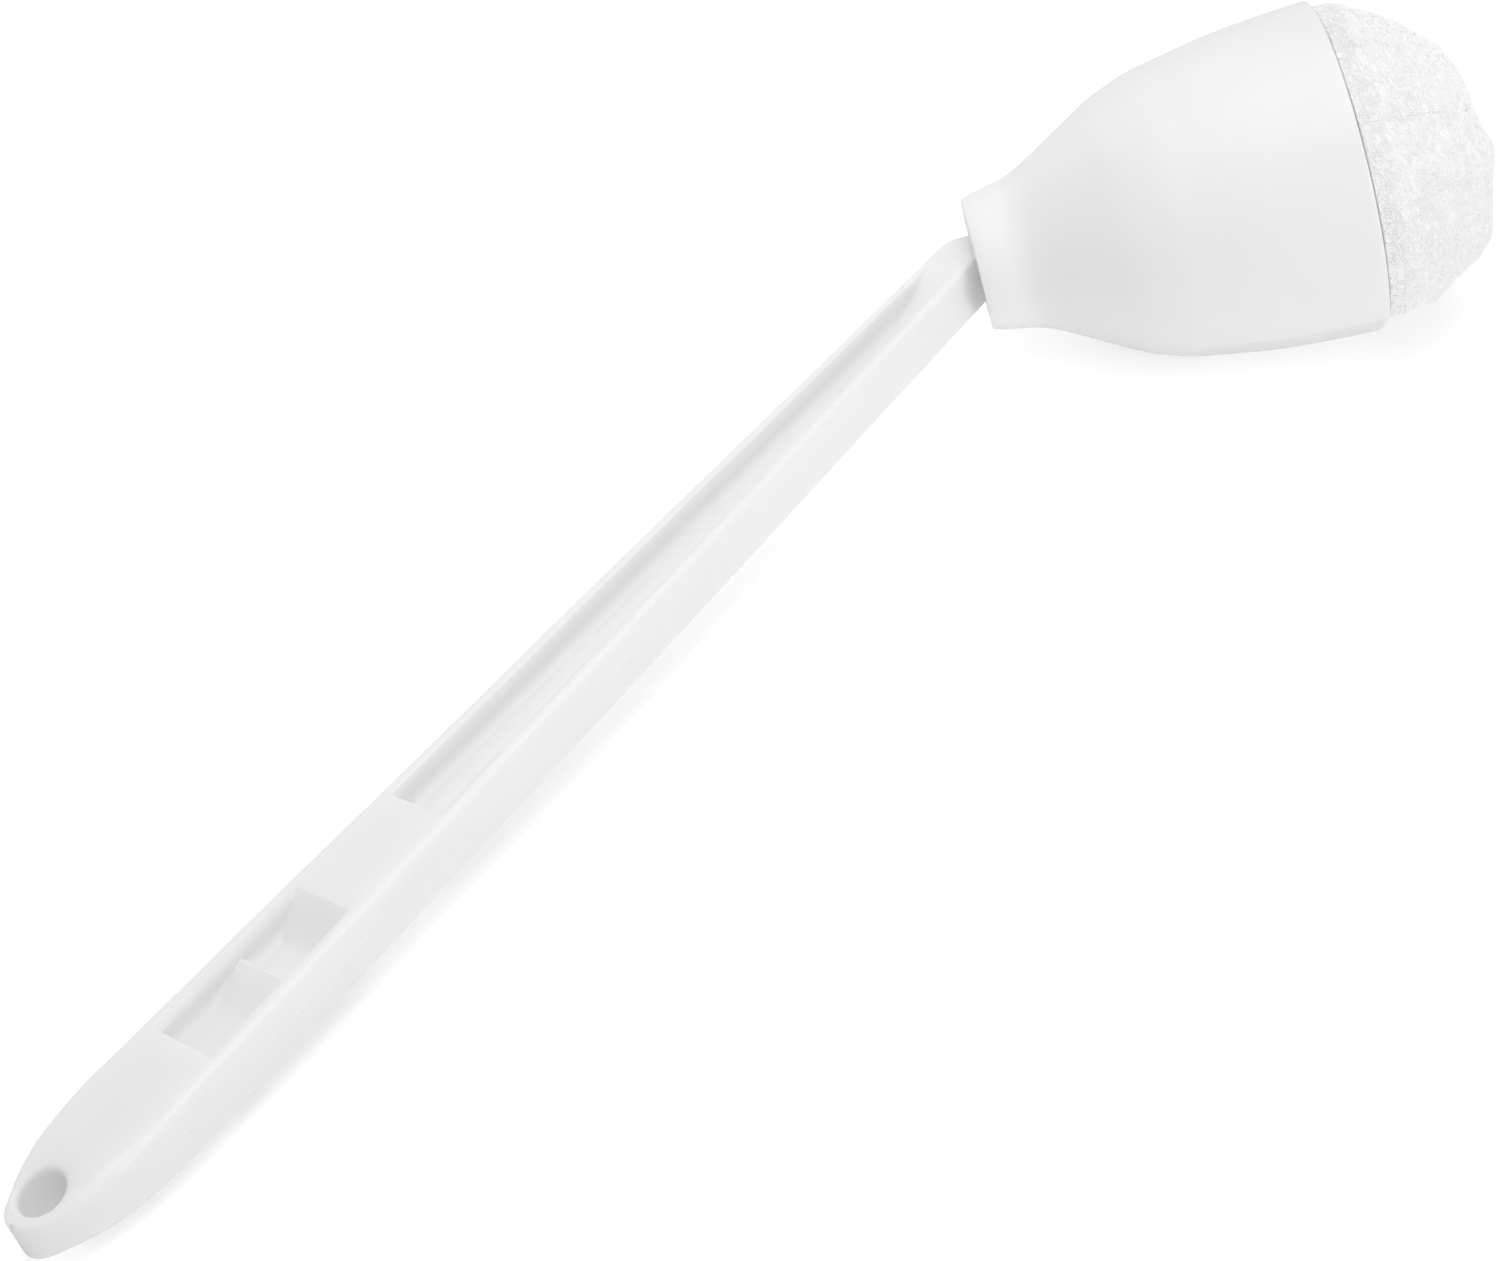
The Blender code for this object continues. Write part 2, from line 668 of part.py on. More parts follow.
def lay_down(root, weighed):
    """Rest the mop on the floor, broad face up, with its head pointing along +X."""
    bpy.context.view_layer.update()
    mass = 0.0
    moment = Vector((0.0, 0.0, 0.0))
    corners = []
    for item, density in weighed:
        volume, part, points = body_sums(item)
        mass += density * volume
        moment += density * part
        corners += points
    turn = rest_turn(corners, moment / mass, Vector((0.0, 0.0, 1.0)))
    head = turn @ stem_direction()
    heading = Matrix.Rotation(-math.atan2(head.y, head.x), 4, "Z")
    turned = [heading @ turn @ corner for corner in corners]
    low = Vector([min(point[i] for point in turned) for i in range(3)])
    high = Vector([max(point[i] for point in turned) for i in range(3)])
    shift = Matrix.Translation((-(low.x + high.x) / 2, -(low.y + high.y) / 2, -low.z))
    root.matrix_world = shift @ heading @ turn


def main():
    """Build the mop."""
    clear_scene()
    plastic = material("white_plastic", (0.84, 0.85, 0.86), 0.36, 0.0)
    cone_plastic = material("white_cone_plastic", (0.84, 0.85, 0.86), 0.40, 0.0)
    yarn = material("white_yarn", (0.90, 0.90, 0.89), 0.95, 0.0)
    steel = material("binding_steel", (0.60, 0.61, 0.62), 0.34, 1.0)
    root = empty("mop")
    handle = make_handle(plastic)
    handle.parent = root
    stem = stem_direction()
    across = Vector((-math.sin(BEND), -math.cos(BEND), 0.0))
    up = Vector((0.0, 0.0, 1.0))
    axes = Matrix((up, across, stem)).transposed()
    head = empty("head_axis", root)
    head.location = (ARM_LENGTH, 0.0, 0.0)
    head.rotation_euler = axes.to_euler()
    slide = empty("cone_slide", head)
    slide.location = (0.0, 0.0, COLLAR_OFFSET)
    cone = make_cone(cone_plastic)
    cone.parent = slide
    weighed = [(handle, PLASTIC_DENSITY), (cone, PLASTIC_DENSITY)]
    for index in range(OUTER_HANKS):
        hank = make_outer_hank(index, yarn)
        hank.parent = head
        weighed.append((hank, YARN_DENSITY))
    for index in range(INNER_HANKS):
        hank = make_inner_hank(index, yarn)
        hank.parent = head
        weighed.append((hank, YARN_DENSITY))
    wire = make_wire(steel)
    wire.parent = head
    lay_down(root, weighed)


main()
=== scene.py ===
import json
import math

import bmesh
import bpy
import numpy as np
from mathutils import Matrix, Vector


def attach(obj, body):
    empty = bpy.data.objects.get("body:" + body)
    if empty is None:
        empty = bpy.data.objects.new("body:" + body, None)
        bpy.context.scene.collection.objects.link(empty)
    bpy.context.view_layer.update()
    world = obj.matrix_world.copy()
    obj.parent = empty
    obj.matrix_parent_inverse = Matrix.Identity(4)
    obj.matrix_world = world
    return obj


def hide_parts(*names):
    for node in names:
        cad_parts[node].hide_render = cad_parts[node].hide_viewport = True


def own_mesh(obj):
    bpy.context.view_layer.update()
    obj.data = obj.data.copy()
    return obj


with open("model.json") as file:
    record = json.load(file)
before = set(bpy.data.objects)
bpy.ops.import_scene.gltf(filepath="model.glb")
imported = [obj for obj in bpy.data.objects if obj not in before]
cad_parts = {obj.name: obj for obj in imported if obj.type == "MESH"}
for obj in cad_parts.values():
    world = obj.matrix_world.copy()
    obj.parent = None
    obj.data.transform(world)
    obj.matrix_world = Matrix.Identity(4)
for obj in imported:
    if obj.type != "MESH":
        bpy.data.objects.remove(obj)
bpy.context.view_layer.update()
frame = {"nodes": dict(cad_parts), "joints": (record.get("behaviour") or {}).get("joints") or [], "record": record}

# Handle: sizes in metres, as its solid has them
CLEARANCE = 0.0003
ARM_LENGTH = 0.2552
ARM_THICKNESS = 0.01044
GRIP_WIDTH = 0.0186
NECK_WIDTH = 0.0091
TAIL_TAPER = 0.0228
TAIL_THICKNESS = 0.0076
TAIL_THINNING_LENGTH = 0.0165
WIDTH_SHARES = ((0.0, 1.0), (0.090, 0.900), (0.204, 0.820), (0.294, 0.715), (0.386, 0.635),
                (0.568, 0.475), (0.773, 0.235), (1.0, 0.0))
HANG_HOLE_INSET = 0.0069
POCKET_START = 0.0379
POCKET_END = 0.0700
RIB_CENTRE = 0.0555
RIB_DROP = 0.0018
CHANNEL_START = 0.0935
CHANNEL_END = 0.2476
CHANNEL_RUNOUT = 0.014
WEB_THICKNESS = 0.0014
RECESS_DEPTH = (ARM_THICKNESS - WEB_THICKNESS) / 2
POCKET_RIM = 0.0023
NECK_RIM = 0.0018
WALL_DRAFT = 0.0003
BEND = math.radians(46.9)
ELBOW_INNER_RADIUS = 0.001
ELBOW_RADIUS = NECK_WIDTH / 2 + ELBOW_INNER_RADIUS
ELBOW_SETBACK = ELBOW_RADIUS * math.tan(BEND / 2)
ROUND_OVER = 0.004
STEM_RADIUS = 0.005
STEM_LENGTH = 0.060
FLANGE_RADIUS = 0.0062
FLANGE_THICKNESS = 0.002

# Handle: edges, rib, hole and recess floors, which differ a little from the solid's
CORNER_RADIUS = 0.0006
TAIL_SOFTENING = 0.0010
SOFTENING_RISE = 0.005
SOFTENING_END = 0.027
SOFTENING_FALL = 0.011
PARTING_RIDGE = 0.00008
PARTING_HEIGHTS = (0.0, 0.00012, 0.00022, 0.00036)
PARTING_SHARES = (1.0, 0.5, 0.0, 0.0)
CORNER_MARGIN = 0.0002
RECESS_EDGE = 0.00025
FLOOR_FILLET = 0.0036
FLOOR_SHARES = (0.66, 0.33, 0.0)
RIB_THICKNESS = 0.0012
NEAR_LIP = 0.0003
NEAR_RAMP = 0.0012
FAR_LIP = 0.0009
FAR_RAMP = 0.0090
RAMP_EASE_SHARE = 0.55
LIP_DEGREES = 40.0
RECESS_BLEND = 0.0005
HANG_HOLE_RADIUS = 0.0040
HANG_HOLE_ROLL = 0.0010
HANG_HOLE_TURN = 0.01
FLANGE_EDGE = 0.0004
STEM_END_RUN = 0.001
CLOSEST_RINGS = 0.00002
HANDLE_SHARP = math.radians(38.0)

# Wringer cone: the collar's offset is from the bend, the other distances from the collar edge
COLLAR_OFFSET = 0.00095
CONE_LENGTH = 0.0714
CONE_WALL = 0.0016
COLLAR_RADIUS = 0.0127
RIM_RADIUS = 0.03185
BELL_SHARES = ((0.0, 0.0), (0.027, 0.032), (0.078, 0.069), (0.131, 0.116), (0.183, 0.201),
               (0.236, 0.312), (0.288, 0.423), (0.341, 0.534), (0.392, 0.635), (0.446, 0.714),
               (0.497, 0.778), (0.577, 0.836), (0.682, 0.905), (0.786, 0.952), (0.891, 0.981),
               (1.0, 1.0))
GUIDE_DISC_SETBACK = 0.007
GUIDE_DISC_THICKNESS = 0.002
GUIDE_SLEEVE_LENGTH = 0.005
GUIDE_SLEEVE_WALL = 0.0016
LAND_START = 0.034
LAND_RAMP = 0.004
LAND_HALF = math.radians(12.0)
LAND_TURN = math.radians(136.5)
WALL_START = 0.0016
WALL_END = CONE_LENGTH - 0.0009
DISC_FAR_ROOM = 0.0012
DISC_NEAR_ROOM = 0.0010
MOULDED_EDGE = 0.00045
RIM_OUTER_EDGE = 0.0003
GUIDE_EDGE = 0.0003
DISC_FAR_FILLET = 0.0009
DISC_NEAR_FILLET = 0.0008
SLEEVE_FILLET = 0.0007
CONE_SHARP = math.radians(40.0)

# Yarn head, with places as distances from the bend
BINDING_SETBACK = 0.012
YARN_START = STEM_LENGTH - BINDING_SETBACK
WAIST_LENGTH = 0.0065
WAIST_END = YARN_START + WAIST_LENGTH
WAIST_INNER = 0.0068
WAIST_OUTER = 0.0087
THROAT_RADIUS = 0.02915
YARN_PROJECTION = 0.0281
YARN_RADIUS = 0.0302
INNER_YARN_RADIUS = 0.0140
RIM_PLACE = COLLAR_OFFSET + CONE_LENGTH
TIP_PLACE = RIM_PLACE + YARN_PROJECTION
DOME_SHARES = ((0.0, 0.965), (0.107, 1.0), (0.253, 0.954), (0.388, 0.914), (0.520, 0.851),
               (0.655, 0.762), (0.786, 0.672), (0.854, 0.603), (0.922, 0.447), (0.989, 0.113),
               (1.0, 0.0))

# Yarn skin: where it fills the cone's mouth and bulges past the rim, then its waves and tufts
MOUTH_ROOM = 0.00015
MOUTH_REACH = 0.0022
MOUTH_HOLD = 0.00008
MOUTH_STEPS = (-0.0003, 0.00005, 0.0001, 0.00016, 0.00022, 0.0003, 0.0004, 0.0007)
MOUTH_BULGE = 0.0018
MOUTH_BULGE_TURN = math.radians(65.0)
BULGE_START = 0.00005
BULGE_RISE = 0.00035
BULGE_REACH = 0.011
BULGE_POWER = 1.5
# Each wave: share of the radius, waves round the head, phase, drift along it.
HEAD_WAVES = ((0.005, 5, 1.3, 1.6), (0.004, 8, 4.0, -2.2), (0.003, 3, 0.4, 4.0))
WAVE_START = 0.064
WAVE_RISE = 0.010
WAVE_MIDDLE = 0.066
WAVE_LENGTH = 0.036
# Each noise: height, size, seed.
TUFTS = ((0.00032, 0.0052, 11), (0.00018, 0.0023, 12), (0.00012, 0.0010, 13))
TUFT_START = 0.060
TUFT_RISE = 0.008
# Swells and hollows of the yarn head: angle in degrees, share of the dome's length, reach, push.
SWELLS = ((325, 0.55, 0.009, -0.0038), (335, 0.80, 0.010, -0.0009), (2, 0.92, 0.009, -0.0018),
          (24, 0.95, 0.008, -0.0033), (40, 0.975, 0.007, -0.0026), (66, 0.96, 0.006, 0.0026),
          (100, 0.95, 0.008, -0.0014), (120, 0.86, 0.007, -0.0009), (137, 0.70, 0.0065, 0.0015),
          (139, 0.50, 0.006, -0.0006), (140, 0.34, 0.0055, 0.0014), (142, 0.12, 0.005, -0.0034))

# Hanks and the loops that stand on them, with lows and highs in pairs
# Each layer: name, number of hanks, turn of the first one as a share of a hank.
LAYERS = (("outer", 12, 0.0), ("inner", 6, 0.25))
HANK_GAP = 0.00001
HANK_SINK = 0.0003
HANK_THINNEST = 0.0001
POLE_RADIUS = 0.002
OUTER_END = TIP_PLACE - 0.0024
INNER_START = STEM_LENGTH + 0.0008
INNER_END = TIP_PLACE - 0.0003
CORE_RADIUS = 0.0003
LOOPS_START = RIM_PLACE + 0.0004
LOOPS_END = TIP_PLACE - 0.00015
LOOPS_PER_AREA = 5.2e6
LOOP_SINK = 0.0004
LOOP_HEIGHT = (0.00026, 0.00052)
LOOP_SPAN = (0.0003, 0.0006)
LOOP_LEAN = (-0.0003, 0.0003)
LOOP_TILT = 0.35
LOOP_THICKNESS = (0.00010, 0.00016)
YARN_SEED = 41

# Colours, and how deep light spreads in the two plastics
HANDLE_WHITE = (0.85, 0.85, 0.852)
HANDLE_GLOW_DEPTH = 0.0060
CONE_WHITE = (0.905, 0.905, 0.907)
CONE_GLOW_DEPTH = 0.0021
PLASTIC_ROUGHNESS = 0.34
YARN_LOW = (0.945, 0.945, 0.943)
YARN_HIGH = (0.975, 0.975, 0.973)
WIRE_LOW = (0.50, 0.51, 0.53)
WIRE_HIGH = (0.62, 0.63, 0.65)

# Studio: metres and watts
FLOOR_REACH = 6.0
FLOOR_DROP = 0.0002
FLOOR_TONE = 0.97
FLOOR_SEEN_GLOW = 0.32
WORLD_LIGHT = 0.47
# Each lamp: name, place, size, power.
LAMPS = (("top_softbox", (0.04, 0.04, 0.62), 0.5, 1.18),
         ("front_softbox", (0.44, -0.40, 0.16), 0.3, 0.98),
         ("back_softbox", (-0.14, 0.37, 0.475), 0.5, 0.66),
         ("left_softbox", (-0.21, -0.25, 0.52), 0.5, 0.38))
ALL_BOUNCES = 24
DIFFUSE_BOUNCES = 16

# Camera: its place and directions in the handle's own axes, fitted to the photograph
EYE = (-0.10329, -0.32534, 0.3212)
EYE_RIGHT = (0.59163, -0.76695, -0.24851)
EYE_UP = (0.62986, 0.24731, 0.73628)
LENS = 72.156

# Where the handle lies in the frame: the slide's axis, the broad face and a point on that face
slide = frame["joints"][0]
face = [m for m in frame["record"]["mounts"] if m["name"] == "grip_face_top"][0]
STEM = np.array(slide["axis"], float)
STEM /= np.linalg.norm(STEM)
UP = np.array(face["axis"], float)
UP /= np.linalg.norm(UP)
ARM = STEM * math.cos(BEND) + np.cross(UP, STEM) * math.sin(BEND)
SIDE = np.cross(UP, ARM)
TAIL = (np.array(face["pos_m"], float) - ARM * (POCKET_END + CHANNEL_START) / 2
        - UP * ARM_THICKNESS / 2)
ELBOW = TAIL + ARM * ARM_LENGTH
ACROSS = np.cross(STEM, UP)


# Curves

def spline(table, places):
    """Natural cubic through (place, value) pairs: second slopes from one linear solve, then the
    cubic of each span, read at all places at once."""
    x = np.array([pair[0] for pair in table], float)
    y = np.array([pair[1] for pair in table], float)
    n = len(x)
    h = np.diff(x)
    a = np.zeros((n, n))
    b = np.zeros(n)
    a[0, 0] = 1.0
    a[-1, -1] = 1.0
    for i in range(1, n - 1):
        a[i, i - 1] = h[i - 1]
        a[i, i] = 2 * (h[i - 1] + h[i])
        a[i, i + 1] = h[i]
        b[i] = 6 * ((y[i + 1] - y[i]) / h[i] - (y[i] - y[i - 1]) / h[i - 1])
    m = np.linalg.solve(a, b)
    t = np.clip(np.asarray(places, float), x[0], x[-1])
    i = np.clip(np.searchsorted(x, t, side="right") - 1, 0, n - 2)
    p = (x[i + 1] - t) / h[i]
    q = (t - x[i]) / h[i]
    bow = ((p ** 3 - p) * m[i] + (q ** 3 - q) * m[i + 1]) * h[i] ** 2 / 6
    return p * y[i] + q * y[i + 1] + bow


def ease(u):
    """Smooth step: 3u^2 - 2u^3 between 0 and 1."""
    u = np.clip(u, 0.0, 1.0)
    return u * u * (3 - 2 * u)


def hash_noise(points, size, seed):
    """Value noise: lattice values from a seeded table, mixed with a smooth step along each axis."""
    table = np.random.default_rng(seed).random(4096)
    p = np.asarray(points, float) / size
    cell = np.floor(p).astype(np.int64)
    f = p - cell
    f = f * f * (3 - 2 * f)
    total = np.zeros(len(p))
    for dx in (0, 1):
        for dy in (0, 1):
            for dz in (0, 1):
                key = (cell[:, 0] + dx) * 73856093 ^ (cell[:, 1] + dy) * 19349663
                key ^= (cell[:, 2] + dz) * 83492791
                w = np.where(dx, f[:, 0], 1 - f[:, 0])
                w = w * np.where(dy, f[:, 1], 1 - f[:, 1])
                w = w * np.where(dz, f[:, 2], 1 - f[:, 2])
                total += w * table[key % 4096]
    return total * 2 - 1


# Meshes

def make_piece(name, points, faces, surface):
    """Put points and faces (rows of three or four corners) into a smooth shaded mesh object."""
    data = bpy.data.meshes.new(name)
    data.from_pydata(points.tolist(), [], faces)
    data.update()
    data.shade_smooth()
    data.materials.append(surface)
    made = bpy.data.objects.new(name, data)
    bpy.context.scene.collection.objects.link(made)
    return made


def grid_faces(rows, columns, close_rows):
    """Quads of a grid whose columns run round in a ring; the last row meets the first if told."""
    i = np.arange(rows if close_rows else rows - 1)
    j = np.arange(columns)
    a, b = np.meshgrid(i, j, indexing="ij")
    c = (a + 1) % rows
    d = (b + 1) % columns
    quads = np.stack([a * columns + b, a * columns + d, c * columns + d, c * columns + b], -1)
    return quads.reshape(-1, 4)


def end_fans(rows, columns, first, last):
    """Triangles that fan from the first ring to the point numbered first, and from the last ring
    to the point numbered last."""
    j = np.arange(columns)
    k = (j + 1) % columns
    base = (rows - 1) * columns
    return [np.stack([k, j, np.full(columns, first)], -1),
            np.stack([base + j, base + k, np.full(columns, last)], -1)]


def skin_rings(name, rings, surface, closed=False):
    """Skin over an array of rings (rows, columns, 3): a torus when closed, else its two ends are
    shut by a fan to the middle of the first and of the last ring."""
    rows, columns = rings.shape[:2]
    points = rings.reshape(-1, 3)
    faces = grid_faces(rows, columns, closed).tolist()
    if not closed:
        for fan in end_fans(rows, columns, len(points), len(points) + 1):
            faces += fan.tolist()
        points = np.vstack([points, rings[0].mean(0), rings[-1].mean(0)])
    made = make_piece(name, points, faces, surface)
    point_outward(made)
    return made


def point_outward(piece):
    """Turn a closed piece's faces outward."""
    mesh = bmesh.new()
    mesh.from_mesh(piece.data)
    bmesh.ops.recalc_face_normals(mesh, faces=mesh.faces)
    mesh.to_mesh(piece.data)
    mesh.free()


def on_handle(local):
    """From the handle's own axes (along the arm, to its side, up) to the frame."""
    return TAIL + local[..., 0:1] * ARM + local[..., 1:2] * SIDE + local[..., 2:3] * UP


def on_head(local):
    """From the head's own axes (up, across, along the stem from the bend) to the frame."""
    return ELBOW + local[..., 0:1] * UP + local[..., 1:2] * ACROSS + local[..., 2:3] * STEM


# Materials

def new_material(name):
    """A new material, its node tree and its Principled shader."""
    made = bpy.data.materials.new(name)
    made.use_nodes = True
    tree = made.node_tree
    return made, tree, tree.nodes["Principled BSDF"]


def noise_of(tree, scale, detail, roughness):
    """Noise on the object's own coordinates, in features per metre."""
    place = tree.nodes.new("ShaderNodeTexCoord")
    noise = tree.nodes.new("ShaderNodeTexNoise")
    noise.inputs["Scale"].default_value = scale
    noise.inputs["Detail"].default_value = detail
    noise.inputs["Roughness"].default_value = roughness
    tree.links.new(place.outputs["Object"], noise.inputs["Vector"])
    return noise


def ramp_of(tree, source, low, high):
    """A colour ramp between two (place, colour) stops."""
    ramp = tree.nodes.new("ShaderNodeValToRGB")
    for stop, (place, colour) in zip(ramp.color_ramp.elements, (low, high)):
        stop.position = place
        stop.color = (*colour, 1.0)
    tree.links.new(source, ramp.inputs["Fac"])
    return ramp


def range_of(tree, source, low, high):
    """Map noise, which lies mostly between 0.3 and 0.7, onto a range of numbers."""
    span = tree.nodes.new("ShaderNodeMapRange")
    span.inputs["From Min"].default_value = 0.3
    span.inputs["From Max"].default_value = 0.7
    span.inputs["To Min"].default_value = low
    span.inputs["To Max"].default_value = high
    tree.links.new(source, span.inputs["Value"])
    return span


def bump_of(tree, shader, source, strength, distance, below=None):
    """Bump from a height, over another bump when one is given."""
    bump = tree.nodes.new("ShaderNodeBump")
    bump.inputs["Strength"].default_value = strength
    bump.inputs["Distance"].default_value = distance
    tree.links.new(source, bump.inputs["Height"])
    if below is not None:
        tree.links.new(below.outputs["Normal"], bump.inputs["Normal"])
    tree.links.new(bump.outputs["Normal"], shader.inputs["Normal"])
    return bump


def milky_plastic(name, colour, rough, depth):
    """Moulded polypropylene: milky, half glossy, with faint flow marks, fine texture and scuffs;
    depth is how far light spreads in it."""
    made, tree, shader = new_material(name)
    shader.inputs["IOR"].default_value = 1.49
    shader.inputs["Subsurface Weight"].default_value = 0.75
    shader.inputs["Subsurface Radius"].default_value = (1.0, 1.0, 0.98)
    shader.inputs["Subsurface Scale"].default_value = depth
    flow = noise_of(tree, 38.0, 3.0, 0.55)
    darker = tuple(c * 0.982 for c in colour)
    tint = ramp_of(tree, flow.outputs["Fac"], (0.30, darker), (0.72, colour))
    tree.links.new(tint.outputs["Color"], shader.inputs["Base Color"])
    scuff = noise_of(tree, 210.0, 4.0, 0.6)
    gloss = range_of(tree, scuff.outputs["Fac"], rough - 0.05, rough + 0.07)
    tree.links.new(gloss.outputs["Result"], shader.inputs["Roughness"])
    soft = bump_of(tree, shader, flow.outputs["Fac"], 0.22, 0.0004)
    grain = noise_of(tree, 2600.0, 2.0, 0.5)
    bump_of(tree, shader, grain.outputs["Fac"], 0.10, 0.00004, soft)
    return made


def mop_yarn():
    """White mop yarn: fully rough, with a soft sheen and slight changes of tone."""
    made, tree, shader = new_material("white_mop_yarn")
    shader.inputs["Roughness"].default_value = 1.0
    shader.inputs["Sheen Weight"].default_value = 0.20
    shader.inputs["Sheen Roughness"].default_value = 0.6
    shader.inputs["Specular IOR Level"].default_value = 0.10
    tone = noise_of(tree, 320.0, 3.0, 0.6)
    tint = ramp_of(tree, tone.outputs["Fac"], (0.28, YARN_LOW), (0.70, YARN_HIGH))
    tree.links.new(tint.outputs["Color"], shader.inputs["Base Color"])
    fibre = noise_of(tree, 5200.0, 3.0, 0.7)
    bump_of(tree, shader, fibre.outputs["Fac"], 0.25, 0.00006)
    return made


def drawn_wire():
    """Plain drawn steel wire with fine scratches."""
    made, tree, shader = new_material("drawn_steel_wire")
    shader.inputs["Metallic"].default_value = 1.0
    scratch = noise_of(tree, 1800.0, 4.0, 0.7)
    tint = ramp_of(tree, scratch.outputs["Fac"], (0.3, WIRE_LOW), (0.7, WIRE_HIGH))
    tree.links.new(tint.outputs["Color"], shader.inputs["Base Color"])
    gloss = range_of(tree, scratch.outputs["Fac"], 0.28, 0.42)
    tree.links.new(gloss.outputs["Result"], shader.inputs["Roughness"])
    return made


# Handle

def tail_slant(x):
    """How far the arm's outline faces backward: the ellipse's normal, zero past the tail."""
    swing = np.arccos(np.clip(1 - x / TAIL_TAPER, 0.0, 1.0))
    back = np.cos(swing) / TAIL_TAPER
    side = np.sin(swing) / (GRIP_WIDTH / 2)
    return np.where(x < TAIL_TAPER, back / np.hypot(back, side), 0.0)


def arm_half_width(x):
    """Half the arm's width: a quarter ellipse at the tail, then the table of widths to the neck."""
    tail = GRIP_WIDTH / 2 * np.sqrt(np.clip(1 - (1 - x / TAIL_TAPER) ** 2, 0.0, 1.0))
    share = spline(WIDTH_SHARES, (x - TAIL_TAPER) / (ARM_LENGTH - TAIL_TAPER))
    body = (NECK_WIDTH + (GRIP_WIDTH - NECK_WIDTH) * share) / 2
    return np.where(x < TAIL_TAPER, tail, body)


def arm_half_thickness(x):
    """Half the arm's thickness, eased thinner toward the end of the tail."""
    share = ease(x / TAIL_THINNING_LENGTH)
    return (TAIL_THICKNESS + (ARM_THICKNESS - TAIL_THICKNESS) * share) / 2


def wall_depths(start, direction, top, bottom):
    """Stations (x, depth) down one end of a recess: a rounded lip, then a ramp to the floor that
    mixes u(2 - u) with a smooth step. It is steep at the end nearer the tail, long at the other."""
    lip, ramp = (NEAR_LIP, NEAR_RAMP) if direction > 0 else (FAR_LIP, FAR_RAMP)
    turns = np.radians(np.linspace(0, LIP_DEGREES, 4))
    x = list(-lip + lip * np.sin(turns))
    z = list(top + lip * (1 - np.cos(turns)))
    u = np.linspace(0, 1, 14)[1:]
    drop = (1 - RAMP_EASE_SHARE) * u * (2 - u) + RAMP_EASE_SHARE * ease(u)
    x += list(x[-1] + ramp * u)
    z += list(z[-1] + (bottom - z[-1]) * drop)
    stations = [(start + direction * a, b) for a, b in zip(x, z)]
    return stations if direction > 0 else stations[::-1]


def recess_stations():
    """Depth of the recesses below the broad face, along the arm: two pockets with a rib between
    them, then the channel, which runs out at the neck by a smooth step."""
    stations = wall_depths(POCKET_START, 1, 0.0, RECESS_DEPTH)
    stations += wall_depths(RIB_CENTRE - RIB_THICKNESS / 2, -1, RIB_DROP, RECESS_DEPTH)
    stations += wall_depths(RIB_CENTRE + RIB_THICKNESS / 2, 1, RIB_DROP, RECESS_DEPTH)
    stations += wall_depths(POCKET_END, -1, 0.0, RECESS_DEPTH)
    stations += wall_depths(CHANNEL_START, 1, 0.0, RECESS_DEPTH)
    u = np.linspace(0, 1, 15)
    x = CHANNEL_END - CHANNEL_RUNOUT * (1 - u)
    stations += list(zip(x, RECESS_DEPTH * (1 - ease(u))))
    return np.array(stations)


def trough(aside, along):
    """Depth of a recess from its side wall's depth and its end walls' depth: the lesser of the
    two, less a square of how near they are, so that their corner is rounded."""
    near = np.maximum(RECESS_BLEND - np.abs(aside - along), 0.0)
    return np.maximum(np.minimum(aside, along) - near ** 2 / (4 * RECESS_BLEND), 0.0)


def corner_radius(x):
    """Radius of the arm's long edges: their own, and more round the tail, where the product of two
    smooth steps brings it in and out."""
    soft = ease(x / SOFTENING_RISE) * ease((SOFTENING_END - x) / SOFTENING_FALL)
    return CORNER_RADIUS + TAIL_SOFTENING * soft


def arm_quadrants(x, depth):
    """Quarter sections of the arm (stations, points, 3: ahead, aside, up), from the parting line
    round the corner, over the land and its lip, down the recess wall and its fillet to the middle
    of the floor. The corner draws in square to the outline, so it also runs round the tail."""
    a = arm_half_width(x)[:, None]
    back = tail_slant(x)[:, None]
    aside = np.sqrt(1 - back ** 2)
    d = depth[:, None]
    corner = corner_radius(x)[:, None]
    outline = arm_half_thickness(x[:, None])
    b = arm_half_thickness(x[:, None] + corner * back)
    along = (x - POCKET_END) / (ARM_LENGTH - POCKET_END)
    rim = (POCKET_RIM + (NECK_RIM - POCKET_RIM) * ease(along))[:, None]
    inner = a - np.minimum(rim, a / 2)
    lip = np.minimum(RECESS_EDGE, inner / 10)
    draft = np.minimum(WALL_DRAFT, inner / 8)
    fillet = np.minimum(FLOOR_FILLET, inner / 2)
    edge = np.maximum(a - corner * aside, 0.0)
    one = np.ones_like(a)

    y = [a + PARTING_RIDGE * share * aside for share in PARTING_SHARES] + [a, a]
    z = [height * one for height in PARTING_HEIGHTS]
    z += [outline - corner - CORNER_MARGIN, outline - corner]
    ahead = [0 * one] * len(y)
    for t in np.radians(np.linspace(0, 90, 7))[1:]:
        inset = 1 - math.cos(t)
        ahead.append(corner * inset * back)
        y.append(a + (edge - a) * inset)
        z.append(outline + (b - outline) * inset - corner * (1 - math.sin(t)))
    y.append((edge + np.minimum(inner + lip, edge * 0.9)) / 2)
    z.append(b * one)
    for t in np.radians(np.linspace(0, 90, 4)):
        y.append(np.minimum(inner + lip * (1 - math.sin(t)), edge * 0.8))
        z.append(b - np.minimum(lip * (1 - math.cos(t)), d))
    for t in np.radians(np.linspace(0, 90, 10)):
        y.append(np.minimum(inner - draft - fillet * (1 - math.cos(t)), edge * 0.7))
        z.append(b - trough(RECESS_DEPTH - fillet * (1 - math.sin(t)), d))
    foot = np.minimum(inner - draft - fillet, edge * 0.6)
    for share in FLOOR_SHARES:
        y.append(foot * share)
        z.append(b - trough(RECESS_DEPTH, d))
    ahead += [corner * back] * (len(y) - len(ahead))
    return np.stack([np.concatenate(ahead, 1), np.concatenate(y, 1), np.concatenate(z, 1)], -1)


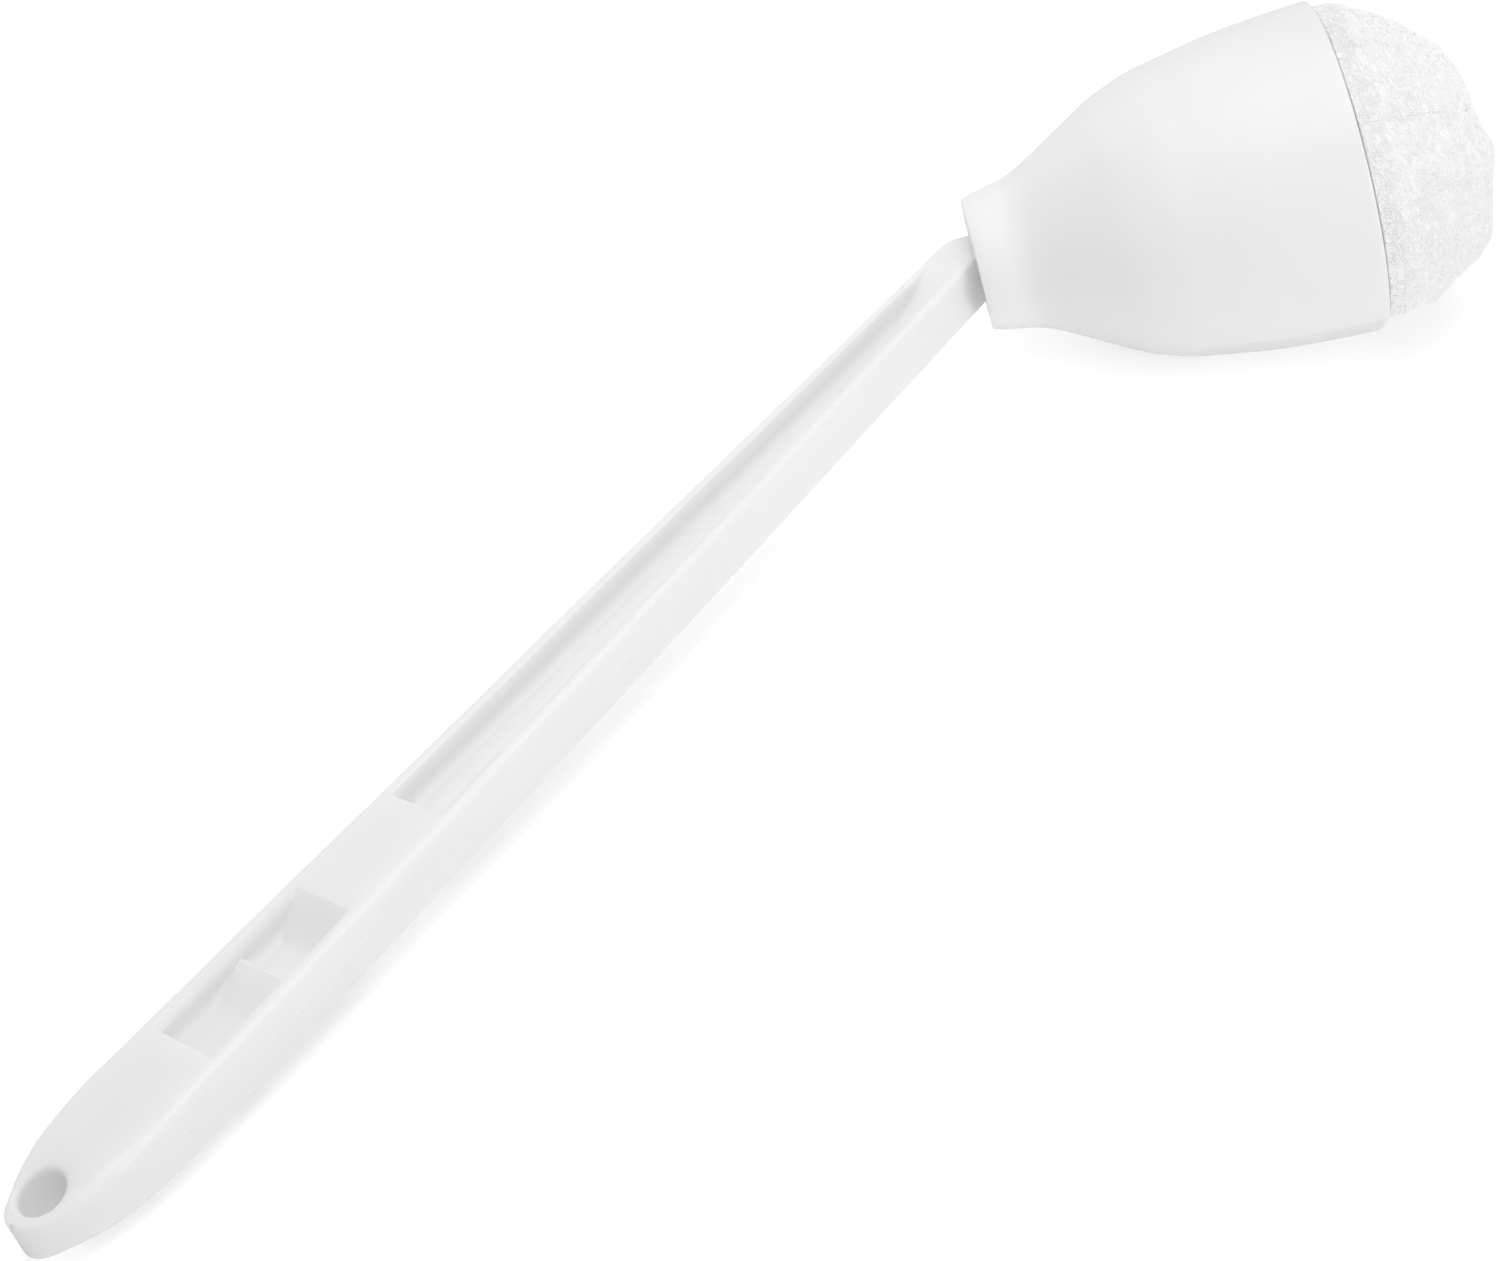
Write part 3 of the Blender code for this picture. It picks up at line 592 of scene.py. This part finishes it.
def round_quadrants(radius, points):
    """Quarter circles (stations, points, 3): the radius times the cosine and sine of the turn."""
    turn = np.linspace(0, math.pi / 2, points)
    circle = np.stack([np.zeros_like(turn), np.cos(turn), np.sin(turn)], -1)
    return np.asarray(radius, float)[:, None, None] * circle[None]


def full_rings(quadrants, centres, ahead, across):
    """Mirror each quarter section twice and set it on its centre, square to the path."""
    left = quadrants[:, -2::-1] * np.array([1.0, -1.0, 1.0])
    upper = np.concatenate([quadrants, left], 1)
    lower = upper[:, -2:0:-1] * np.array([1.0, 1.0, -1.0])
    ring = np.concatenate([upper, lower], 1)
    placed = centres[:, None] + ring[..., 0:1] * ahead[:, None] + ring[..., 1:2] * across[:, None]
    placed[..., 2] += ring[..., 2]
    return placed


def headed(turn):
    """Unit vectors (ahead, across) of the handle's path after it has turned by an angle."""
    flat = np.zeros_like(turn)
    ahead = np.stack([np.cos(turn), -np.sin(turn), flat], -1)
    return ahead, np.stack([np.sin(turn), np.cos(turn), flat], -1)


def arm_stations():
    """Places along the straight arm and the recess depth there: close together by a cosine at the
    tail, at each station of the recesses, and evenly on to the elbow."""
    recess = recess_stations()
    tail = TAIL_TAPER * (1 - np.cos(np.radians(np.linspace(0.6, 90.0, 60))))
    spread = np.linspace(TAIL_TAPER, ARM_LENGTH - ELBOW_SETBACK, 170)[1:-1]
    x = np.unique(np.round(np.concatenate([recess[:, 0], spread]), 7))
    apart = np.concatenate([[True], np.diff(x) > CLOSEST_RINGS])
    x = np.concatenate([tail, x[apart]])
    return x, np.interp(x, recess[:, 0], recess[:, 1], left=0.0, right=0.0)


def on_stem(s):
    """Points on the stem's axis in the handle's own axes, by distance from the bend."""
    ahead = np.array([math.cos(BEND), -math.sin(BEND), 0.0])
    return np.array([ARM_LENGTH, 0.0, 0.0]) + s[:, None] * ahead


def elbow_rings(count):
    """The elbow as an arc about its inner side, then the run into the stem: the neck's section
    turns into the stem's circle by a smooth step along both."""
    radius = ELBOW_RADIUS
    turn = np.linspace(0, BEND, 25)
    share = np.linspace(0, 1, 12)[1:]
    arc = np.stack([ARM_LENGTH - ELBOW_SETBACK + radius * np.sin(turn),
                    -radius * (1 - np.cos(turn)), np.zeros_like(turn)], -1)
    run = on_stem(ELBOW_SETBACK + ROUND_OVER * share)
    walked = np.concatenate([radius * turn, radius * BEND + ROUND_OVER * share])
    length = radius * BEND + ROUND_OVER
    neck = arm_quadrants(np.array([ARM_LENGTH]), np.array([0.0]))
    stem = round_quadrants([STEM_RADIUS], count)
    mixed = neck + (stem - neck) * ease(walked / length)[:, None, None]
    ahead, across = headed(np.concatenate([turn, np.full(len(share), BEND)]))
    return full_rings(mixed, np.vstack([arc, run]), ahead, across)


def flange_rings(count):
    """The stem's end and its flange, whose two edges are eased in three steps."""
    edge = FLANGE_EDGE
    flange = STEM_LENGTH - FLANGE_THICKNESS
    s = np.array([flange - STEM_END_RUN, flange, flange, flange + edge / 3, flange + edge,
                  STEM_LENGTH - edge, STEM_LENGTH - edge / 3, STEM_LENGTH])
    r = np.array([STEM_RADIUS, STEM_RADIUS, FLANGE_RADIUS - edge, FLANGE_RADIUS - edge / 3,
                  FLANGE_RADIUS, FLANGE_RADIUS, FLANGE_RADIUS - edge / 3, FLANGE_RADIUS - edge])
    ahead, across = headed(np.full(len(s), BEND))
    return full_rings(round_quadrants(r, count), on_stem(s), ahead, across)


def handle_rings():
    """The handle as rings carried along its path: the straight arm, the elbow, the stem."""
    x, depth = arm_stations()
    quadrants = arm_quadrants(x, depth)
    count = quadrants.shape[1]
    zero = np.zeros_like(x)
    ahead, across = headed(zero)
    arm = full_rings(quadrants, np.stack([x, zero, zero], -1), ahead, across)
    return np.concatenate([arm, elbow_rings(count), flange_rings(count)])


def hang_hole_tool(surface):
    """The hang hole's cutter: a straight bore whose two mouths roll open in a quarter round that
    follows the thinning faces."""
    roll = HANG_HOLE_ROLL
    turns = np.radians(np.linspace(0, 90, 9))
    turn = np.linspace(0, 2 * math.pi, 96, endpoint=False) + HANG_HOLE_TURN
    mouth = HANG_HOLE_RADIUS + roll
    face_height = arm_half_thickness(HANG_HOLE_INSET + mouth * np.cos(turn))
    rise = np.concatenate([-roll + roll * np.sin(turns), [roll * 2]])
    r = np.concatenate([HANG_HOLE_RADIUS + roll * (1 - np.cos(turns)),
                        [HANG_HOLE_RADIUS + roll * 1.4]])
    z = face_height[None] + rise[:, None]
    z = np.concatenate([-z[::-1], z])
    r = np.concatenate([r[::-1], r])
    rings = np.stack([HANG_HOLE_INSET + r[:, None] * np.cos(turn), r[:, None] * np.sin(turn), z], -1)
    return skin_rings("hang_hole_tool", on_handle(rings), surface)


def make_handle(surface):
    """The whole moulding, its hang hole cut through."""
    handle = skin_rings("handle_moulding", on_handle(handle_rings()), surface)
    tool = hang_hole_tool(surface)
    cut = handle.modifiers.new("hang_hole", "BOOLEAN")
    cut.operation = "DIFFERENCE"
    cut.solver = "EXACT"
    cut.object = tool
    bpy.context.view_layer.update()
    done = handle.evaluated_get(bpy.context.evaluated_depsgraph_get())
    data = bpy.data.meshes.new_from_object(done)
    handle.modifiers.clear()
    handle.data = data
    data.shade_smooth()
    data.set_sharp_from_angle(angle=HANDLE_SHARP)
    bpy.data.objects.remove(tool)
    return handle


# Wringer cone

def bell_radius(z):
    """Outer radius of the cone by distance from its collar edge: the collar's, plus a spline's
    share of what it gains to the rim."""
    return COLLAR_RADIUS + (RIM_RADIUS - COLLAR_RADIUS) * spline(BELL_SHARES, z / CONE_LENGTH)


def bell_inner_radius(z):
    """Inner radius: the outer one less the wall times the root of one plus the slope squared."""
    step = 0.0004
    low = np.clip(z - step, 0, CONE_LENGTH)
    high = np.clip(z + step, 0, CONE_LENGTH)
    slope = (bell_radius(high) - bell_radius(low)) / (high - low)
    return bell_radius(z) - CONE_WALL * np.sqrt(1 + slope ** 2)


def round_corner(first, corner, last, radius, count):
    """Points that round a profile's corner: a quadratic curve between two points a radius away
    from it, with the corner as its middle control."""
    p, c, q = (np.asarray(v, float) for v in (first, corner, last))
    p = c + (p - c) / np.linalg.norm(p - c) * radius
    q = c + (q - c) / np.linalg.norm(q - c) * radius
    t = np.linspace(0, 1, count)[:, None]
    return (1 - t) ** 2 * p + 2 * t * (1 - t) * c + t ** 2 * q


def inner_at(z):
    """The cone's inner radius at one distance."""
    return float(bell_inner_radius(np.array([z]))[0])


def cone_profile():
    """Closed wall profile (points, 3): radius, distance from the collar edge, and how far the
    lands reach there (1 on the bell's two walls, 0 on the guide)."""
    places = np.linspace(WALL_START, WALL_END, 110)
    outer = np.stack([bell_radius(places), places], -1)
    inner_z = places[::-1]
    disc_near = GUIDE_DISC_SETBACK
    disc_far = GUIDE_DISC_SETBACK + GUIDE_DISC_THICKNESS
    far_z = inner_z[inner_z > disc_far + DISC_FAR_ROOM]
    inner = np.stack([bell_inner_radius(far_z), far_z], -1)
    near_z = inner_z[inner_z < disc_near - DISC_NEAR_ROOM]
    collar = np.stack([bell_inner_radius(near_z), near_z], -1)
    bore = STEM_RADIUS + CLEARANCE
    sleeve = bore + GUIDE_SLEEVE_WALL
    sleeve_end = GUIDE_DISC_SETBACK + GUIDE_SLEEVE_LENGTH

    rim_corner = (RIM_RADIUS, CONE_LENGTH)
    mouth_corner = (inner_at(CONE_LENGTH), CONE_LENGTH)
    far_corner = (inner_at(disc_far), disc_far)
    near_corner = (inner_at(disc_near), disc_near)
    foot = (sleeve, disc_far)
    tip = (sleeve, sleeve_end)
    bore_tip = (bore, sleeve_end)
    bore_mouth = (bore, disc_near)
    collar_in = (inner_at(0.0), 0.0)
    collar_out = (COLLAR_RADIUS, 0.0)

    rim_out = round_corner(outer[-1], rim_corner, mouth_corner, RIM_OUTER_EDGE, 6)
    rim_in = round_corner(rim_corner, mouth_corner, inner[0], MOULDED_EDGE, 6)
    guide = [round_corner(inner[-1], far_corner, foot, DISC_FAR_FILLET, 6),
             round_corner(far_corner, foot, tip, SLEEVE_FILLET, 6),
             round_corner(foot, tip, bore_tip, GUIDE_EDGE, 4),
             round_corner(tip, bore_tip, (bore, disc_far), GUIDE_EDGE, 4),
             round_corner(bore_tip, bore_mouth, near_corner, GUIDE_EDGE, 4),
             round_corner(bore_mouth, near_corner, collar[0], DISC_NEAR_FILLET, 6)]
    collar_edge = [round_corner(collar[-1], collar_in, collar_out, MOULDED_EDGE, 6),
                   round_corner(collar_in, collar_out, outer[0], MOULDED_EDGE, 6)]
    runs = [outer, rim_out, rim_in, inner] + guide + [collar] + collar_edge
    marks = [1, 1, 1, 1] + [0] * len(guide) + [1, 1, 1]
    points = np.vstack(runs)
    mark = np.concatenate([np.full(len(run), m, float) for run, m in zip(runs, marks)])
    return np.column_stack([points, mark])


def make_cone(surface):
    """The cone as one profile carried round the stem: inside each land's angle the bell's walls
    follow a flat, R cos(half) / cos(offset), eased in along its first few millimetres."""
    profile = cone_profile()
    turn = np.linspace(0, 2 * math.pi, 240, endpoint=False)
    off = (turn - LAND_TURN + math.pi / 2) % math.pi - math.pi / 2
    inside = np.abs(off) < LAND_HALF
    flat = np.where(inside, 1 - math.cos(LAND_HALF) / np.cos(np.clip(off, -LAND_HALF, LAND_HALF)), 0)
    reach = ease((profile[:, 1] - LAND_START) / LAND_RAMP) * profile[:, 2]
    radius = profile[:, 0][None] * (1 - flat[:, None] * reach[None])
    along = np.broadcast_to(profile[:, 1][None], radius.shape)
    rings = np.stack([radius * np.cos(turn)[:, None], radius * np.sin(turn)[:, None],
                      along + COLLAR_OFFSET], -1)
    cone = skin_rings("cone_shell", on_head(rings), surface, closed=True)
    cone.data.set_sharp_from_angle(angle=CONE_SHARP)
    return cone


# Yarn

def flare(s):
    """Smooth step along the yarn from the end of its waist to the cone's rim."""
    return ease((s - WAIST_END) / (RIM_PLACE - WAIST_END))


def yarn_outer_radius(s):
    """Outer radius of the yarn head by distance from the bend: the waist's radius, a smooth step
    to the throat's, and past the rim a spline's share of the dome's."""
    throat = WAIST_OUTER + (THROAT_RADIUS - WAIST_OUTER) * flare(s)
    dome = YARN_RADIUS * np.clip(spline(DOME_SHARES, (s - RIM_PLACE) / YARN_PROJECTION), 0, 1)
    return np.where(s <= RIM_PLACE, throat, dome)


def seam_radius(s):
    """Radius of the seam between the two layers of hanks, which grows with the flare."""
    return WAIST_INNER + CLEARANCE / 2 + (INNER_YARN_RADIUS - WAIST_INNER) * flare(s)


def waves(turn, s):
    """Slow waves of the yarn head, as shares of its radius: a sum of sines of its turn and of the
    distance along it, which fade in by a smooth step."""
    along = (s - WAVE_MIDDLE) / WAVE_LENGTH
    wave = sum(share * np.sin(count * turn + phase + drift * along)
               for share, count, phase, drift in HEAD_WAVES)
    return wave * ease((s - WAVE_START) / WAVE_RISE)


def tufts(points):
    """Height of the yarn's soft clumps above its skin: a sum of three sizes of noise."""
    return sum(height * hash_noise(points, size, seed) for height, size, seed in TUFTS)


def skin_radius(turn, s):
    """Radius of the head's skin, before the swells push it: the plain radius with its waves, an
    exp of minus the squared distance from the rim that fills the cone's mouth, a bulge past the
    rim that is widest on one side, and the tufts. Up to the rim it stays inside the cone."""
    past = s - RIM_PLACE
    bulge = MOUTH_BULGE * ease((past - BULGE_START) / BULGE_RISE)
    bulge = bulge * np.exp(-(np.maximum(past, 0.0) / BULGE_REACH) ** 2)
    bulge = bulge * ((1 + np.cos(turn - MOUTH_BULGE_TURN)) / 2) ** BULGE_POWER
    plain = yarn_outer_radius(s) * (1 + waves(turn, s))
    mouth = RIM_RADIUS - CONE_WALL - MOUTH_ROOM
    r = plain + (mouth - plain) * np.exp(-(past / MOUTH_REACH) ** 2) + bulge
    flat = np.stack([r * np.cos(turn), r * np.sin(turn), s], -1)
    r = r + tufts(flat.reshape(-1, 3)).reshape(r.shape) * ease((s - TUFT_START) / TUFT_RISE)
    within = bell_inner_radius(np.clip(s - COLLAR_OFFSET, 0, CONE_LENGTH)) - MOUTH_ROOM
    return np.where(past <= MOUTH_HOLD, np.minimum(r, within), r)


def swelled(points):
    """Push points by every swell: its push times exp of minus the squared distance over reach,
    square to the smooth dome at the swell's middle."""
    out = np.array(points, float)
    step = 0.0002
    for angle, share, reach, push in SWELLS:
        turn = math.radians(angle)
        place = RIM_PLACE + YARN_PROJECTION * share
        low, r, high = yarn_outer_radius(place + np.array([-step, 0.0, step]))
        middle = np.array([r * math.cos(turn), r * math.sin(turn), place])
        square = np.array([math.cos(turn), math.sin(turn), (low - high) / (2 * step)])
        square /= np.linalg.norm(square)
        far = np.sum((points - middle) ** 2, axis=-1, keepdims=True)
        out += push * np.exp(-far / reach ** 2) * square
    return out


def dome_point(turn, s):
    """Point of the head's outer skin in the head's axes: the skin's radius at an angle and a
    distance from the bend, then pushed by the swells."""
    r = skin_radius(turn, s)
    return swelled(np.stack([r * np.cos(turn), r * np.sin(turn), s], -1))


def dome_normal(turn, s):
    """Outward normal: cross product of small steps round the head and along it."""
    step = 0.0006
    swing = step / np.maximum(yarn_outer_radius(s), POLE_RADIUS)
    round_it = dome_point(turn + swing, s) - dome_point(turn - swing, s)
    along_it = dome_point(turn, np.minimum(s + step, TIP_PLACE)) - dome_point(turn, s - step)
    normal = np.cross(round_it, along_it)
    return normal / np.maximum(np.linalg.norm(normal, axis=-1, keepdims=True), 1e-12)


def hank_rings(turn_from, turn_to, s, inner, sunk):
    """A hank's closed body: along its rings an outer arc that follows the head's skin a little
    below it, two flat sides and an inner arc."""
    a = np.linspace(turn_from, turn_to, 34)
    b = np.linspace(turn_to, turn_from, 12)
    outer = skin_radius(*np.broadcast_arrays(a[None], s[:, None]))
    r = np.maximum(outer - sunk, inner[:, None] + HANK_THINNEST)
    turns = np.concatenate([a, b])[None]
    r = np.concatenate([r, np.broadcast_to(inner[:, None], (len(s), len(b)))], 1)
    along = np.broadcast_to(s[:, None], r.shape)
    return np.stack([r * np.cos(turns), r * np.sin(turns), along], -1)


def loop_paths(turn, s, rng):
    """Middle lines of the loops (loops, 5, 3) and their sideways directions: each is a hoop that
    rises by a half sine of its height and sets down a span away by a half cosine, leaning sideways
    by a full sine."""
    count = len(turn)
    foot = dome_point(turn, s)
    normal = dome_normal(turn, s)
    spin = rng.uniform(0, 2 * math.pi, count)
    ref = np.where(np.abs(normal[:, 2:3]) > 0.9, [[1.0, 0.0, 0.0]], [[0.0, 0.0, 1.0]])
    u = np.cross(ref, normal)
    u /= np.linalg.norm(u, axis=1, keepdims=True)
    v = np.cross(normal, u)
    d = u * np.cos(spin)[:, None] + v * np.sin(spin)[:, None]
    e = np.cross(normal, d)
    height = rng.uniform(*LOOP_HEIGHT, count)[:, None, None]
    span = rng.uniform(*LOOP_SPAN, count)[:, None, None]
    lean = rng.uniform(*LOOP_LEAN, count)[:, None, None]
    tilt = rng.normal(0, LOOP_TILT, count)[:, None, None]
    t = np.linspace(0, 1, 5)[None, :, None]
    path = foot[:, None] - normal[:, None] * LOOP_SINK
    path = path + normal[:, None] * height * np.sin(math.pi * t)
    path = path - d[:, None] * span * np.cos(math.pi * t)
    path = path + e[:, None] * (lean * np.sin(2 * math.pi * t) + tilt * height * np.sin(math.pi * t))
    return path, e


def loop_faces(steps):
    """Triangles of one loop: a three sided tube with a point at each end."""
    faces = []
    for q in grid_faces(steps, 3, False):
        faces += [(q[0], q[1], q[2]), (q[0], q[2], q[3])]
    base = (steps - 1) * 3
    for k in range(3):
        faces += [((k + 1) % 3, k, steps * 3), (base + k, base + (k + 1) % 3, steps * 3 + 1)]
    return np.array(faces)


def loops(turn, s, rng):
    """Little loops of yarn on the skin: each path as a three sided tube that narrows to its ends
    by a half sine."""
    path, sideways = loop_paths(turn, s, rng)
    count, steps = path.shape[:2]
    ahead = np.gradient(path, axis=1)
    ahead /= np.linalg.norm(ahead, axis=2, keepdims=True)
    left = np.cross(ahead, sideways[:, None])
    left /= np.linalg.norm(left, axis=2, keepdims=True)
    over = np.cross(ahead, left)
    thick = rng.uniform(*LOOP_THICKNESS, count)[:, None, None]
    t = np.linspace(0, 1, steps)[None, :, None]
    swell = thick * (0.65 + 0.35 * np.sin(math.pi * t))
    turns = [2 * math.pi * k / 3 for k in range(3)]
    tube = np.stack([path + swell * (left * math.cos(a) + over * math.sin(a)) for a in turns], 2)
    points = np.concatenate([tube.reshape(count, -1, 3), path[:, :1], path[:, -1:]], 1)
    faces = loop_faces(steps)[None] + (np.arange(count) * points.shape[1])[:, None, None]
    return points.reshape(-1, 3), faces.reshape(-1, 3)


def loop_places(rng, low, high, per_area):
    """Random places on the skin, evenly by area: angle uniform, distance by the skin's own area."""
    s = np.linspace(low, high, 400)
    r = yarn_outer_radius(s)
    weight = r * np.hypot(np.gradient(r, s), 1.0)
    total = int(2 * math.pi * weight.mean() * (high - low) * per_area)
    table = np.cumsum(weight)
    picks = np.interp(rng.random(total) * table[-1], table, s)
    return rng.uniform(0, 2 * math.pi, total), picks


def hank_body(layer, middle, half):
    """Points and triangles of a hank's closed body in the head's axes. An outer hank runs from
    the binding to near the tip outside the seam, an inner one from the flange on inside it."""
    if layer == "outer":
        places = np.union1d(np.linspace(YARN_START, OUTER_END, 96), RIM_PLACE + np.array(MOUTH_STEPS))
        inner = seam_radius(places) + CLEARANCE / 2
    else:
        places = np.linspace(INNER_START, INNER_END, 70)
        inner = np.full_like(places, CORE_RADIUS)
    gap = HANK_GAP / YARN_RADIUS
    rings = hank_rings(middle - half + gap, middle + half - gap, places, inner, HANK_SINK)
    if layer == "inner":
        seam = seam_radius(places)[:, None] - CLEARANCE / 2
        r = np.hypot(rings[..., 0], rings[..., 1])
        rings[..., :2] *= (np.minimum(r, seam) / r)[..., None]
    rings = swelled(rings)
    rows, columns = rings.shape[:2]
    points = rings.reshape(-1, 3)
    quads = grid_faces(rows, columns, False)
    fans = end_fans(rows, columns, len(points), len(points) + 1)
    points = np.vstack([points, rings[0].mean(0), rings[-1].mean(0)])
    return points, np.concatenate([quads[:, [0, 1, 2]], quads[:, [0, 2, 3]]] + fans)


def make_hank(layer, number, points, faces, loop_count, surface):
    """One hank as a piece, smooth but for its loops, which goes with the handle's body."""
    name = "yarn_%s_hank_%02d" % (layer, number)
    hank = make_piece(name, on_head(points), faces.tolist(), surface)
    point_outward(hank)
    smooth = np.arange(len(faces)) < len(faces) - loop_count
    hank.data.polygons.foreach_set("use_smooth", smooth)
    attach(hank, "handle_body")
    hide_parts("yarn_%s_%02d" % (layer, number))
    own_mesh(hank)


def make_yarn(surface):
    """All hanks: a body each, with the loops that stand on its stretch of the skin."""
    rng = np.random.default_rng(YARN_SEED)
    turn, s = loop_places(rng, LOOPS_START, LOOPS_END, LOOPS_PER_AREA)
    is_outer = yarn_outer_radius(s) > INNER_YARN_RADIUS
    for layer, count, shift in LAYERS:
        half = math.pi / count
        for index in range(count):
            middle = 2 * half * (index + shift)
            body, faces = hank_body(layer, middle, half)
            off = (turn - middle + math.pi) % (2 * math.pi) - math.pi
            mine = (np.abs(off) <= half) & (is_outer == (layer == "outer"))
            extra, more = loops(turn[mine], s[mine], rng)
            points = np.vstack([body, extra])
            faces = np.concatenate([faces, more + len(body)])
            make_hank(layer, index + 1, points, faces, len(more), surface)


# Studio and camera

def make_floor():
    """A plain pale floor: matte, with a glow that only the camera sees."""
    made, tree, shader = new_material("pale_floor")
    tree.nodes.remove(shader)
    out = tree.nodes["Material Output"]
    matte = tree.nodes.new("ShaderNodeBsdfDiffuse")
    matte.inputs["Color"].default_value = (FLOOR_TONE, FLOOR_TONE, FLOOR_TONE, 1.0)
    glow = tree.nodes.new("ShaderNodeEmission")
    rays = tree.nodes.new("ShaderNodeLightPath")
    scale = tree.nodes.new("ShaderNodeMath")
    scale.operation = "MULTIPLY"
    scale.inputs[1].default_value = FLOOR_SEEN_GLOW
    tree.links.new(rays.outputs["Is Camera Ray"], scale.inputs[0])
    tree.links.new(scale.outputs["Value"], glow.inputs["Strength"])
    both = tree.nodes.new("ShaderNodeAddShader")
    tree.links.new(matte.outputs["BSDF"], both.inputs[0])
    tree.links.new(glow.outputs["Emission"], both.inputs[1])
    tree.links.new(both.outputs["Shader"], out.inputs["Surface"])
    corners = ((-1, -1), (1, -1), (1, 1), (-1, 1))
    points = np.array([(x * FLOOR_REACH, y * FLOOR_REACH, -FLOOR_DROP) for x, y in corners])
    floor = make_piece("floor", points, [[0, 1, 2, 3]], made)


def higher_of(tree, first, second):
    """The higher of two values."""
    node = tree.nodes.new("ShaderNodeMath")
    node.operation = "MAXIMUM"
    tree.links.new(first, node.inputs[0])
    tree.links.new(second, node.inputs[1])
    return node.outputs["Value"]


def make_world():
    """A white world: at full strength for camera, glossy and transmission rays, lower as light."""
    world = bpy.data.worlds.new("white_studio")
    bpy.context.scene.world = world
    world.use_nodes = True
    tree = world.node_tree
    back = tree.nodes["Background"]
    back.inputs["Color"].default_value = (1, 1, 1, 1)
    rays = tree.nodes.new("ShaderNodeLightPath")
    seen = higher_of(tree, rays.outputs["Is Camera Ray"], rays.outputs["Is Glossy Ray"])
    also = higher_of(tree, seen, rays.outputs["Is Transmission Ray"])
    level = tree.nodes.new("ShaderNodeMapRange")
    level.inputs["To Min"].default_value = WORLD_LIGHT
    level.inputs["To Max"].default_value = 1.0
    tree.links.new(also, level.inputs["Value"])
    tree.links.new(level.outputs["Result"], back.inputs["Strength"])


def add_lamp(name, place, size, power):
    """A square softbox that faces the mop."""
    data = bpy.data.lights.new(name, "AREA")
    data.shape = "SQUARE"
    data.size = size
    data.energy = power
    lamp = bpy.data.objects.new(name, data)
    lamp.location = place
    lamp.rotation_euler = (-Vector(place)).to_track_quat("-Z", "Y").to_euler()
    bpy.context.scene.collection.objects.link(lamp)


def make_camera():
    """The camera at the photograph's viewing angle."""
    data = bpy.data.cameras.new("camera")
    data.sensor_fit = "HORIZONTAL"
    data.sensor_width = 36.0
    data.lens = LENS
    data.clip_start = 0.01
    data.dof.use_dof = False
    axes = np.stack([ARM, SIDE, UP])
    right = np.array(EYE_RIGHT) @ axes
    up = np.array(EYE_UP) @ axes
    back = np.cross(right, up)
    place = Matrix.Identity(4)
    for row in range(3):
        place[row][0] = right[row]
        place[row][1] = up[row]
        place[row][2] = back[row]
        place[row][3] = (TAIL + np.array(EYE) @ axes)[row]
    camera = bpy.data.objects.new("camera", data)
    camera.matrix_world = place
    bpy.context.scene.collection.objects.link(camera)
    bpy.context.scene.camera = camera


# The whole scene

def main():
    """Dress the frame, light it and set the camera."""
    plastic = milky_plastic("milky_white_plastic", HANDLE_WHITE, PLASTIC_ROUGHNESS, HANDLE_GLOW_DEPTH)
    cone_plastic = milky_plastic("milky_cone_plastic", CONE_WHITE, PLASTIC_ROUGHNESS, CONE_GLOW_DEPTH)
    yarn = mop_yarn()
    wire = drawn_wire()
    handle = make_handle(plastic)
    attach(handle, "handle_body")
    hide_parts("handle")
    cone = make_cone(cone_plastic)
    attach(cone, "cone_body")
    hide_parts("wringer_cone")
    coil = frame["nodes"]["binding_wire"]
    coil.data.materials.clear()
    coil.data.materials.append(wire)
    make_yarn(yarn)
    make_floor()
    make_world()
    for name, place, size, power in LAMPS:
        add_lamp(name, place, size, power)
    bpy.context.scene.cycles.max_bounces = ALL_BOUNCES
    bpy.context.scene.cycles.diffuse_bounces = DIFFUSE_BOUNCES
    make_camera()


main()
bpy.context.scene.view_settings.view_transform = "Standard"
